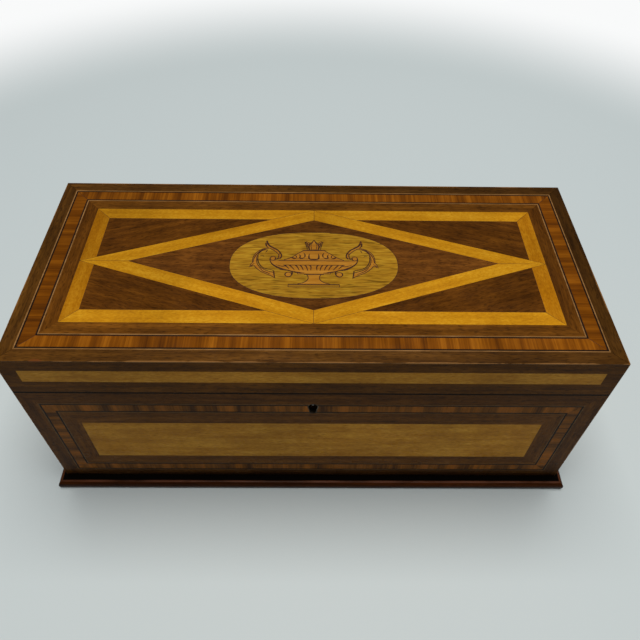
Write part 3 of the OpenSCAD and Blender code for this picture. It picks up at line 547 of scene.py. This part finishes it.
def urn_base(finish, shade):
    """The slab under the urn's foot, nearly as green as the oval."""
    low = finish.grade(finish.split(finish.place)[1], URN_BASE_TOP - 0.2 * MM, URN_BASE_TOP, 0.85, 0)
    return finish.mix(low, shade, finish.mix(0.45, tuple(woods().oval), tuple(woods().oval_dark)))


def plinth_shading(finish, shade, roughness):
    """Painted shade on the plinth's ledge and along its foot, a painted highlight with rubbing on its arris,
    and a rough ledge.
    """
    height = finish.split(finish.place)[2]
    grime_and_shade = tuple(woods().grime_and_shade)
    # Painted shade along the foot of the plinth
    shade = finish.mix(finish.grade(height, 0.2 * MM, 1.6 * MM, 0.85, 0), shade, grime_and_shade)
    # Painted shade and reflection on the ledge: near black, and rough
    ledge = finish.grade(height, PLINTH_ARRIS, PLINTH_ARRIS + 0.2 * MM)
    shade = finish.mix(ledge, shade, tuple(0.4 * value for value in grime_and_shade))
    # A painted highlight, with rubbing, along the plinth's arris
    patch = finish.noise(finish.place, (22, 22, 10), detail=3)
    from_arris = finish.calc("ABSOLUTE", finish.calc("SUBTRACT", height, PLINTH_ARRIS))
    line = finish.grade(from_arris, 0.15 * MM, 0.5 * MM, 1, 0)
    rubbed = finish.calc("MULTIPLY", line, finish.grade(patch, 0.4, 0.6, 0.1, 0.7))
    shade = finish.mix(rubbed, shade, tuple(woods().plinth_rubbed_highlight))
    return shade, finish.calc("MAXIMUM", roughness, ledge)


# Materials

def wood(
    wood_name, lay, label, node,
    gloss=1.0, stain=None, ends=None, fade=None, middle=None, margin=None, edges=False,
):
    """A polished wood, with grain, open pores, figure and an uneven polish.

    stain tints the piece and ends tints the ends of a frame, as painted shade for the way light falls across
    their grain; fade is its change from left to right and from front to back, middle its tone round the oval,
    and margin the width of a band with dark margins; edges wears it, with a painted highlight, and adds dirt
    and painted shade.
    """
    finish = Finish(f"{wood_name} {label}")
    shade, height = grain_colour(finish, wood_name, lay(finish, node))
    cloud = finish.noise(finish.place, (11, 13, 13), detail=3, rough=0.6)
    shade = finish.times(shade, finish.tones(cloud, *CLOUD_TONES))
    if stain:
        shade = finish.times(shade, stain)
    # Painted shade: the ends of a frame darker, for the way light falls across their grain
    if ends:
        shade = finish.mix(finish.side, shade, finish.times(shade, ends))
    if fade:
        shade = faded(finish, shade, *fade)
    if middle:
        shade = darker_middle(finish, shade, middle)
    if margin:
        shade = dark_margins(finish, shade, margin)
    if wood_name == "urn":
        shade = urn_base(finish, shade)
    # Wear with a painted highlight on the edges, dirt and painted shade in the seam and at the foot, and a
    # chip
    if edges:
        shade = chipped(finish, grimy_and_shaded(finish, rubbed_and_highlit_edges(finish, shade)))
    ripple = finish.noise(finish.place, (55, 60, 60), detail=1)
    surface = finish.bump(height, 0.3, 0.05 * MM, finish.bump(ripple, 0.18, 0.4 * MM))
    smear = finish.noise(finish.place, (40, 55, 50), detail=3, rough=0.6)
    polish = finishes().polish
    roughness = finish.grade(smear, 0.3, 0.72, polish * 0.8, polish * 1.3)
    if wood_name == "plinth":
        shade, roughness = plinth_shading(finish, shade, roughness)
    finish.set(
        Base_Color=shade,
        Roughness=roughness,
        Specular_IOR_Level=finishes().gloss * gloss,
        Normal=surface,
    )
    return finish.material


def metal(name, bright, dull, rough=0.34):
    """Old metal: fine brushing, tarnish in clouds, and a slightly uneven surface."""
    finish = Finish(name)
    cloud = finish.noise(finish.place, (160, 160, 160), detail=4, rough=0.65)
    speck = finish.noise(finish.place, (900, 900, 900))
    brush = finish.noise(finish.place, (900, 60, 60))
    tarnish = finish.grade(finish.calc("MULTIPLY_ADD", speck, 0.3, cloud), 0.52, 0.82)
    finish.set(
        Base_Color=finish.mix(tarnish, tuple(bright), tuple(dull)),
        Metallic=0.92,
        Roughness=finish.grade(tarnish, 0, 1, rough, rough + 0.26),
        Normal=finish.bump(brush, 0.25, 0.03 * MM),
    )
    return finish.material


def cloth(name, pile, worn_pile):
    """Wool baize: a matted short nap, darker where it is worn."""
    finish = Finish(name)
    nap = finish.noise(finish.place, (2600, 2600, 2600), detail=3, rough=0.7)
    mat = finish.noise(finish.place, (130, 130, 130), detail=4, rough=0.6)
    blend = finish.calc("MULTIPLY_ADD", mat, 0.6, finish.calc("MULTIPLY", nap, 0.4))
    finish.set(
        Base_Color=finish.mix(finish.grade(blend, 0.36, 0.66), tuple(worn_pile), tuple(pile)),
        Roughness=0.96,
        Specular_IOR_Level=0.15,
        Sheen_Weight=0.35,
        Sheen_Roughness=0.5,
        Normal=finish.bump(nap, 0.6, 0.12 * MM),
    )
    return finish.material


def line_filling():
    """The dark filling of engraved lines: dull, a little uneven in tone."""
    name = "line filling"
    if name in bpy.data.materials:
        return bpy.data.materials[name]
    finish = Finish(name)
    patch = finish.noise(finish.place, (700, 700, 700), detail=3)
    glue = tuple(woods().glue)
    dark = tuple(0.5 * value for value in glue)
    light = tuple(1.7 * value for value in glue)
    finish.set(Base_Color=finish.tones(patch, dark, glue, light), Roughness=0.6, Specular_IOR_Level=0.2)
    return finish.material


def dress(node, material):
    """Puts a material on every slot of a CAD node."""
    mesh = NODES[node].data
    if not mesh.materials:
        mesh.materials.append(material)
    for slot in range(len(mesh.materials)):
        mesh.materials[slot] = material


# Corners this near are joined before the edges of a node are rounded, if they are sharper than the angle
WELD_REACH = 0.002 * MM
SHARP = math.radians(38)


def soften(node, width, segments=2):
    """Rounds the sharp edges of a CAD node a little, without touching its mesh."""
    owner = NODES[node]
    weld = owner.modifiers.new("Weld", "WELD")
    weld.merge_threshold = WELD_REACH
    bevel = owner.modifiers.new("Softened edges", "BEVEL")
    bevel.width = width
    bevel.segments = segments
    bevel.limit_method = "ANGLE"
    bevel.angle_limit = SHARP
    bevel.harden_normals = False


def finish_nodes(rows):
    """Each row is node names, wood, lay, label and further settings."""
    for names, wood_name, lay, label, settings in rows:
        for node in names:
            dress(node, wood(wood_name, lay, label, node, **settings))


# Lines

# How far a corner may lie from the lid's top and still be on it
LEVEL_SLACK = 0.01 * MM
# No edge of the oval is longer than this
OVAL_EDGE = 12 * MM


def line_curve(name, strokes, width):
    """A curve with one smooth round spline for each stroke of points in millimetres."""
    data = bpy.data.curves.new(name, "CURVE")
    data.dimensions = "3D"
    data.bevel_depth = width / 2
    data.bevel_resolution = 1
    data.resolution_u = 5
    data.use_fill_caps = True
    for points in strokes:
        spline = data.splines.new("BEZIER")
        spline.bezier_points.add(len(points) - 1)
        for knot, (x, y, share) in zip(spline.bezier_points, points):
            knot.co = (x * MM, y * MM, 0)
            knot.radius = share
            knot.handle_left_type = knot.handle_right_type = "AUTO"
    made = bpy.data.objects.new(name, data)
    bpy.context.scene.collection.objects.link(made)
    return made


def only(made):
    bpy.ops.object.select_all(action="DESELECT")
    made.select_set(True)
    bpy.context.view_layer.objects.active = made


def to_mesh(made):
    only(made)
    bpy.ops.object.convert(target="MESH")
    return bpy.context.view_layer.objects.active


def top_edges(name, nodes, keep=lambda edge: True):
    """An object of the bare edges where the top of each node meets its walls."""
    shell = bmesh.new()
    for node in nodes:
        part = bmesh.new()
        part.from_mesh(NODES[node].data)
        bmesh.ops.remove_doubles(part, verts=part.verts, dist=0.001 * MM)
        part.normal_update()
        inner = [edge for edge in part.edges if not on_rim(edge) or not keep(edge)]
        bmesh.ops.delete(part, geom=inner, context="EDGES")
        bmesh.ops.delete(part, geom=list(part.faces), context="FACES_ONLY")
        bare = bpy.data.meshes.new(name)
        part.to_mesh(bare)
        part.free()
        shell.from_mesh(bare)
        bpy.data.meshes.remove(bare)
    loose = [vert for vert in shell.verts if not vert.link_edges]
    bmesh.ops.delete(shell, geom=loose, context="VERTS")
    mesh = bpy.data.meshes.new(name)
    shell.to_mesh(mesh)
    shell.free()
    made = bpy.data.objects.new(name, mesh)
    bpy.context.scene.collection.objects.link(made)
    return made


def on_rim(edge):
    """True where a face that looks up meets a wall, at the height of the lid's top."""
    if any(abs(vert.co.z - LID_TOP) > LEVEL_SLACK for vert in edge.verts):
        return False
    ups = [face.normal.z > 0.9 for face in edge.link_faces]
    return any(ups) and not all(ups)


def is_oval(edge):
    """True for the short edges that make the oval."""
    return edge.calc_length() < OVAL_EDGE


def flat_lines(made, stand):
    """Presses a piece of round lines flat, so that they stand a hair above the lid's top."""
    mesh = made.data
    lowest = min(vert.co.z for vert in mesh.vertices)
    highest = max(vert.co.z for vert in mesh.vertices)
    middle = (lowest + highest) / 2
    squash = stand / max((highest - lowest) / 2, 0.001 * MM)
    for vert in mesh.vertices:
        vert.co.z = LID_TOP + (vert.co.z - middle) * squash
    mesh.update()


def lay_on_lid(made, stand):
    """Makes a piece of round lines into flat dark ones that ride on the lid."""
    flat_lines(made, stand)
    made.data.materials.append(line_filling())
    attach(made, "lid")


def ribbon(bare, width, stand):
    """Turns bare edges into flat dark lines on the lid."""
    only(bare)
    bpy.ops.object.convert(target="CURVE")
    bare.data.bevel_depth = width / 2
    bare.data.bevel_resolution = 1
    bare.data.use_fill_caps = True
    lay_on_lid(to_mesh(bare), stand)


# The engraved strokes of the urn's left half: x and y in millimetres from the lid's middle, and a share of
# the width
URN_STROKES = [
    [(-33.3, 21.8, 0.4), (-32.9, 18.8, 1.8), (-31.5, 16.4, 1.5), (-28.8, 14.2, 1.3), (-25.9, 12.3, 1.3),
     (-23.9, 9.6, 1.3), (-22.8, 6.9, 1.2), (-22.9, 4.7, 1), (-23.9, 2.9, 0.5)],
    [(-33.9, 19.4, 0.4), (-33.8, 17.2, 0.8), (-33.1, 15.2, 0.4)],
    [(-24.2, 9, 0.4), (-24.7, 6.2, 0.8), (-25.3, 3.6, 0.8), (-26.6, 2.4, 0.4)],
    [(-33.2, 13.3, 0.4), (-36.2, 12.3, 0.9), (-38.9, 9.6, 1), (-40.8, 6.4, 0.9), (-41.9, 2.8, 0.7),
     (-42.2, -0.6, 0.4)],
    [(-39, 6.6, 0.5), (-39.1, 2.2, 1), (-38.1, -1.4, 1), (-36.1, -4.6, 1), (-33.4, -6.5, 0.8),
     (-29.6, -7.6, 0.8), (-27.2, -8.8, 0.6)],
    [(-27.5, -8.7, 1.1), (-27.2, -12, 1.2), (-26.3, -15.9, 0.4)],
    [(-38, -5.2, 0.4), (-35.4, -8.4, 0.8), (-32.2, -10.4, 0.8), (-29.6, -11.8, 0.4)],
    [(-43.9, -4.4, 0.9), (-42.6, -3, 0.6), (-41.2, -1.2, 0.3)],
    [(-34.1, 9.4, 0.2), (-33.4, 11, 0.9), (-32.6, 12.2, 0.3)],
    [(-37.6, 6, 0.3), (-35.9, 6.3, 0.6), (-34.9, 5.4, 0.3)],
    [(-29.7, 5.4, 0.5), (-30.6, 3.4, 0.9), (-30.4, 1, 0.7), (-29.2, -1.6, 1.2), (-27.6, -3.3, 1.5),
     (-25.2, -5.4, 1.3), (-22.4, -6.9, 1.4), (-20.4, -7.3, 0.7)],
    [(-27.4, 4.4, 0.4), (-26.9, 3, 0.9), (-27.8, 1.9, 0.5)],
    [(-26.6, -2.4, 0.3), (-24, -3.6, 0.7), (-20.9, -4.1, 0.8), (-18.9, -3.1, 0.6)],
    [(-23.6, -7.4, 0.3), (-20, -7.9, 0.9), (-16.8, -8.3, 1.2), (-14.9, -9.9, 1.2), (-15, -12, 1),
     (-16.3, -13.7, 0.9), (-18.2, -14, 0.9), (-19.6, -12.7, 0.8), (-19.7, -11, 0.7), (-18.6, -9.9, 0.5)],
    [(-15.9, -8.6, 0.6), (-12.4, -9.9, 0.8), (-9.6, -10.4, 1.2), (-6.4, -10.5, 0.5)],
    [(-16.4, 5, 0.4), (-14.7, 4.2, 1.7), (-12.6, 3.7, 0.7)],
    [(-12.9, 7, 0.3), (-12.3, 5.6, 1), (-12.3, 4.4, 0.9)],
    [(-10.3, 8, 0.3), (-9.6, 6, 1.2), (-9.9, 4.2, 1.3)],
    [(-7.3, 9.6, 0.3), (-6.3, 7.6, 1), (-6.4, 5.4, 1.3)],
    [(-10.4, 4.2, 0.6), (-8.4, 3.8, 1), (-6.3, 5, 0.5)],
    [(-3.1, 8.6, 0.4), (-3.5, 5.6, 1.3), (-3, 3.4, 1.5), (0, 2.6, 1.3)],
    [(-2.9, 12.6, 0.4), (-3.3, 17.4, 1.2), (-1.4, 20.2, 1), (0, 22.6, 0.7)],
    [(-4.6, 12.8, 0.4), (-5.3, 16.6, 1.1), (-6.6, 20.9, 0.5)],
    [(-6.6, 20.9, 0.5), (-4.9, 19.4, 1), (-3.6, 17.6, 0.8)],
    [(-2.2, 17.2, 0.3), (-1.9, 14.8, 0.7), (-1.6, 12.7, 0.3)],
]
# Lines that cross the middle: half length, height and a share of the width
URN_RULES = [
    (24.8, 1.5, 0.8), (21.4, -2.9, 0.7), (14.4, 3.2, 0.5), (8, 11.8, 0.9), (6.8, -11.9, 0.9),
    (17.4, -21.2, 0.7),
]
# Gadroons of the bowl: distance from the middle at the top and at the foot, height of the foot
URN_GADROONS = [
    (2.4, 2.1, -8), (5.7, 4.2, -8.3), (9.1, 7.2, -7.9), (12.2, 10, -8), (16.4, 13.4, -7.7), (19.8, 17, -6.6),
]
# Every gadroon's head leans out from its top: by how much, and the heights of both
GADROON_LEAN = 0.9
GADROON_HEAD = -3.1
GADROON_TOP = -3.6
# Strokes stand above the outlines, and joint lines below them, so that no two faces lie in one plane
STROKE_LIFT = 1.25
JOINT_LIFT = 0.8
# The joint round the oval is wider than the others
OVAL_JOINT = 1.4


# Wood with less polish than the top has
DULL = {"gloss": 0.6}


class KNIFEBOX_OT_carcass(bpy.types.Operator):
    """Finish the carcass boards, the plinth and the lippings"""

    bl_idname = "knife_box.carcass"
    bl_label = "Finish the carcass"

    def execute(self, context):
        finish_nodes([
            (("front_board", "back_board", "bottom_board", "lid_front_rail", "lid_back_rail", "lid_board"),
             "carcass", straight("x"), "along", DULL),
            (("left_end_board", "right_end_board", "lid_left_rail", "lid_right_rail"),
             "carcass", straight("y"), "across", DULL),
            (("front_plinth", "back_plinth"), "plinth", straight("x"), "along", {"gloss": 1.2}),
            (("left_plinth", "right_plinth"), "plinth", straight("y"), "across", {"gloss": 1.2}),
            (("case_lipping", "lid_lipping"), "mahogany", round_a_frame("top"), "lipping", {"edges": True}),
        ])
        for node in ("front_plinth", "back_plinth", "left_plinth", "right_plinth"):
            soften(node, 0.35 * MM, 3)
        return {"FINISHED"}


class KNIFEBOX_OT_case_marquetry(bpy.types.Operator):
    """Finish the veneers, bands, lines and panels of the case"""

    bl_idname = "knife_box.case_marquetry"
    bl_label = "Finish the case's marquetry"

    def execute(self, context):
        border = {"edges": True, **DULL, "stain": (1.2, 1.06, 0.95)}
        ground = {**DULL, "stain": (1.55, 1.42, 1.4)}
        band = {**DULL, "margin": SIDE_BAND}
        finish_nodes([
            (("front_border_veneer",), "mahogany", round_a_frame("front"), "front border", border),
            (("end_border_veneers",), "mahogany", round_a_frame("ends"), "end border", border),
            (("front_ground_veneer",), "mahogany", round_a_frame("front"), "front ground", ground),
            (("end_ground_veneers",), "mahogany", round_a_frame("ends"), "end ground", ground),
            (("front_crossbanding",), "side band", round_a_frame("front", True), "front", band),
            (("end_crossbandings",), "side band", round_a_frame("ends", True), "ends", band),
            (("front_satinwood_panel",), "panel", straight("x"), "front",
             {**DULL, "stain": (0.94, 0.92, 0.86), "fade": (0.09, 0)}),
            (("end_satinwood_panels",), "panel", straight("y"), "ends", DULL),
            (("case_boxwood_stringing",), "boxwood", straight("x"), "case",
             {**DULL, "stain": (0.5, 0.5, 0.5)}),
            (("case_ebony_stringing",), "ebony", straight("x"), "case", DULL),
            (("case_back_veneer",), "mahogany", straight("x"), "back", border),
        ])
        return {"FINISHED"}


class KNIFEBOX_OT_lid_marquetry(bpy.types.Operator):
    """Finish the veneers, bands, straps, fields and oval of the lid"""

    bl_idname = "knife_box.lid_marquetry"
    bl_label = "Finish the lid's marquetry"

    def execute(self, context):
        finish_nodes([
            # The ends tints are painted shade, for the way light falls across the grain of a frame's ends
            (("lid_border_veneer",), "mahogany", round_a_frame("top"), "lid border",
             {"edges": True, "stain": (1.05, 1.02, 1.0), "ends": (0.84, 0.84, 0.8), "fade": (-0.2, -0.16)}),
            (("lid_ground_veneer",), "mahogany", round_a_frame("top"), "lid ground",
             {"stain": (1.6, 1.38, 0.85), "ends": (0.8, 0.76, 0.7), "fade": (-0.03, -0.08)}),
            (("lid_crossbanding",), "band", round_a_frame("top", True), "lid",
             {"ends": (0.79, 0.76, 0.62), "fade": (0.08, -0.03), "margin": TOP_BAND}),
            (("lid_strap_frame",), "satinwood", round_a_frame("top"), "frame",
             {"ends": (0.72, 0.62, 0.45), "fade": (0.09, -0.12)}),
            (("lid_strap_lozenge",), "satinwood", lozenge, "lozenge", {"fade": (0.06, -0.12)}),
            (("lid_corner_fields",), "field", quarters, "corners",
             {"stain": (0.74, 0.72, 0.5), "fade": (-0.02, 0.03)}),
            (("lid_lozenge_field",), "field", straight("x"), "lozenge", {"middle": 0.72}),
            (("lid_oval_panel",), "oval", straight("x"), "ground",
             {"stain": (1.05, 1.02, 1.05), "fade": (0.06, 0.12)}),
            (("urn_inlay",), "urn", straight("x"), "pieces", {}),
            (("lid_boxwood_stringing",), "boxwood", straight("x"), "lid", {}),
            (("lid_ebony_stringing",), "ebony", straight("x"), "lid", {}),
            (("lid_side_veneers",), "mahogany", straight("x"), "lid sides",
             {"edges": True, **DULL, "stain": (1.26, 1.12, 0.7)}),
            (("lid_satinwood_strips",), "panel", straight("x"), "strips",
             {**DULL, "stain": (0.95, 0.93, 0.9)}),
        ])
        return {"FINISHED"}


class KNIFEBOX_OT_fittings(bpy.types.Operator):
    """Finish the lock, the escutcheon, the hinges and the screws"""

    bl_idname = "knife_box.fittings"
    bl_label = "Finish the fittings"

    def execute(self, context):
        look = finishes()
        brass = metal("brass", look.brass, look.brass_dark)
        steel = metal("steel", look.steel, look.steel_dark, rough=0.38)
        rim = metal("escutcheon metal", look.escutcheon, look.escutcheon_dark, rough=0.45)
        for node in (
            "lock_plate", "lock_cap", "link_plate", "left_hinge_case_leaf", "right_hinge_case_leaf",
            "left_hinge_lid_leaf", "right_hinge_lid_leaf", "case_screws", "lid_screws",
        ):
            dress(node, brass)
        for node in ("lock_spring", "lock_drill_pin", "lock_bolt", "left_hinge_pin", "right_hinge_pin"):
            dress(node, steel)
        dress("keyhole_escutcheon", rim)
        return {"FINISHED"}


class KNIFEBOX_OT_linings(bpy.types.Operator):
    """Finish the baize linings and the knife racks"""

    bl_idname = "knife_box.linings"
    bl_label = "Finish the inside"

    def execute(self, context):
        look = finishes()
        baize = cloth("baize", look.baize, look.baize_dark)
        for node in ("floor_lining", "wall_linings", "lid_lining"):
            dress(node, baize)
        finish_nodes([
            (("handle_rack", "blade_rack"), "carcass", straight("y"), "racks", {"gloss": 0.8}),
        ])
        for node in ("handle_rack", "blade_rack"):
            soften(node, 0.4 * MM)
        return {"FINISHED"}


class KNIFEBOX_OT_engraving(bpy.types.Operator):
    """Engrave the urn: the outline of each piece and the strokes inside it"""

    bl_idname = "knife_box.engraving"
    bl_label = "Engrave the urn"

    def execute(self, context):
        sizes = context.scene.knife_box_engraving
        strokes = []
        for points in URN_STROKES:
            strokes.append(points)
            strokes.append([(-x, y, share) for x, y, share in points])
        for half, y, share in URN_RULES:
            strokes.append([(-half, y, share), (half, y, share)])
        for top, foot, low in URN_GADROONS:
            for side in (-1, 1):
                head = (side * (top + GADROON_LEAN), GADROON_HEAD, 0.5)
                strokes.append([head, (side * top, GADROON_TOP, 1.2), (side * foot, low, 0.6)])
        inner = to_mesh(line_curve("urn_strokes", strokes, sizes.stroke_width))
        lay_on_lid(inner, sizes.stand * STROKE_LIFT)
        ribbon(top_edges("urn_outlines", ["urn_inlay"]), sizes.outline_width, sizes.stand)
        return {"FINISHED"}


class KNIFEBOX_OT_joint_lines(bpy.types.Operator):
    """Draw the thin dark glue lines round the straps, the band and the oval"""

    bl_idname = "knife_box.joint_lines"
    bl_label = "Draw the joint lines"

    def execute(self, context):
        sizes = context.scene.knife_box_engraving
        stand = sizes.stand * JOINT_LIFT
        nodes = ["lid_strap_frame", "lid_strap_lozenge", "lid_crossbanding"]
        ribbon(top_edges("strap_joint_lines", nodes), sizes.joint_width, stand)
        oval = top_edges("oval_joint_line", ["lid_lozenge_field"], keep=is_oval)
        ribbon(oval, sizes.joint_width * OVAL_JOINT, stand)
        return {"FINISHED"}


# Tints of the lamp and of the light from all round, in linear numbers
LAMP_TINT = (1.0, 0.985, 0.96)
SKY_TINT = (0.95, 0.98, 1.0)


class KNIFEBOX_OT_studio(bpy.types.Operator):
    """Set up the camera, the soft lamp and the pale floor"""

    bl_idname = "knife_box.studio"
    bl_label = "Set up the studio"

    def execute(self, context):
        scene = context.scene
        studio = scene.knife_box_studio
        scene.view_settings.view_transform = "Standard"
        camera = bpy.data.cameras.new("camera")
        camera.sensor_width = 36
        camera.lens = studio.lens
        camera.clip_start = 0.02
        holder = bpy.data.objects.new("camera", camera)
        holder.location = studio.place
        holder.rotation_euler = studio.turn
        scene.collection.objects.link(holder)
        scene.camera = holder
        lamp = bpy.data.lights.new("overhead softbox", "AREA")
        lamp.shape = "SQUARE"
        lamp.size = studio.lamp_size
        lamp.energy = studio.lamp_power
        lamp.color = LAMP_TINT
        hung = bpy.data.objects.new("overhead softbox", lamp)
        hung.location = studio.lamp_place
        scene.collection.objects.link(hung)
        self.sky(scene, studio)
        self.floor(scene, studio)
        return {"FINISHED"}

    def sky(self, scene, studio):
        world = bpy.data.worlds.new("studio")
        world.use_nodes = True
        scene.world = world
        tree = world.node_tree
        light = tree.nodes["Background"]
        light.inputs["Color"].default_value = (*SKY_TINT, 1)
        light.inputs["Strength"].default_value = studio.sky
        shown = tree.nodes.new("ShaderNodeBackground")
        shown.inputs["Color"].default_value = (*studio.backdrop, 1)
        shown.inputs["Strength"].default_value = 1
        path = tree.nodes.new("ShaderNodeLightPath")
        blend = tree.nodes.new("ShaderNodeMixShader")
        tree.links.new(path.outputs["Is Camera Ray"], blend.inputs[0])
        tree.links.new(light.outputs[0], blend.inputs[1])
        tree.links.new(shown.outputs[0], blend.inputs[2])
        tree.links.new(blend.outputs[0], tree.nodes["World Output"].inputs["Surface"])

    def floor(self, scene, studio):
        plate = bmesh.new()
        bmesh.ops.create_grid(plate, x_segments=2, y_segments=2, size=studio.floor_size / 2)
        mesh = bpy.data.meshes.new("floor")
        plate.to_mesh(mesh)
        plate.free()
        made = bpy.data.objects.new("floor", mesh)
        scene.collection.objects.link(made)
        finish = Finish("pale floor")
        back = finish.grade(finish.split(finish.place)[1], *studio.floor_turn)
        grit = finish.noise(finish.place, (300, 300, 300), detail=3)
        finish.set(
            Base_Color=finish.mix(back, tuple(studio.floor_near), tuple(studio.floor_far)),
            Roughness=0.6,
            Specular_IOR_Level=0.2,
            Normal=finish.bump(grit, 0.08, 0.1 * MM),
        )
        white = finish.grade(finish.length(finish.place), *studio.fade)
        seen = finish.node("LightPath").outputs["Is Camera Ray"]
        glow = finish.node("Emission", Color=(*studio.backdrop, 1), Strength=1).outputs[0]
        blend = finish.node("MixShader", Fac=finish.calc("MULTIPLY", seen, white))
        finish.feed(blend.inputs[1], finish.shader.outputs[0])
        finish.feed(blend.inputs[2], glow)
        finish.feed(finish.tree.nodes["Material Output"].inputs["Surface"], blend.outputs[0])
        mesh.materials.append(finish.material)


OPERATORS = (
    KNIFEBOX_OT_studio,
    KNIFEBOX_OT_carcass,
    KNIFEBOX_OT_case_marquetry,
    KNIFEBOX_OT_lid_marquetry,
    KNIFEBOX_OT_fittings,
    KNIFEBOX_OT_linings,
    KNIFEBOX_OT_joint_lines,
    KNIFEBOX_OT_engraving,
)


class KNIFEBOX_PT_panel(bpy.types.Panel):
    """Sizes, colours and steps of the knife box"""

    bl_idname = "KNIFEBOX_PT_panel"
    bl_label = "Knife Box"
    bl_space_type = "VIEW_3D"
    bl_region_type = "UI"
    bl_category = "Knife Box"

    def draw(self, context):
        for operator in OPERATORS:
            self.layout.operator(operator.bl_idname)
        for group in PROPERTY_GROUPS:
            box = self.layout.box()
            settings = getattr(context.scene, group)
            for key in settings.bl_rna.properties.keys():
                if key not in ("rna_type", "name"):
                    box.prop(settings, key)


def register():
    for group in PROPERTY_GROUPS.values():
        bpy.utils.register_class(group)
    for name, group in PROPERTY_GROUPS.items():
        setattr(bpy.types.Scene, name, PointerProperty(type=group))
    for made in (*OPERATORS, KNIFEBOX_PT_panel):
        bpy.utils.register_class(made)


def unregister():
    for made in reversed((*OPERATORS, KNIFEBOX_PT_panel)):
        bpy.utils.unregister_class(made)
    for name, group in PROPERTY_GROUPS.items():
        delattr(bpy.types.Scene, name)
        bpy.utils.unregister_class(group)


def main():
    register()
    for operator in OPERATORS:
        group, name = operator.bl_idname.split(".")
        getattr(getattr(bpy.ops, group), name)()


if __name__ == "__main__":
    main()
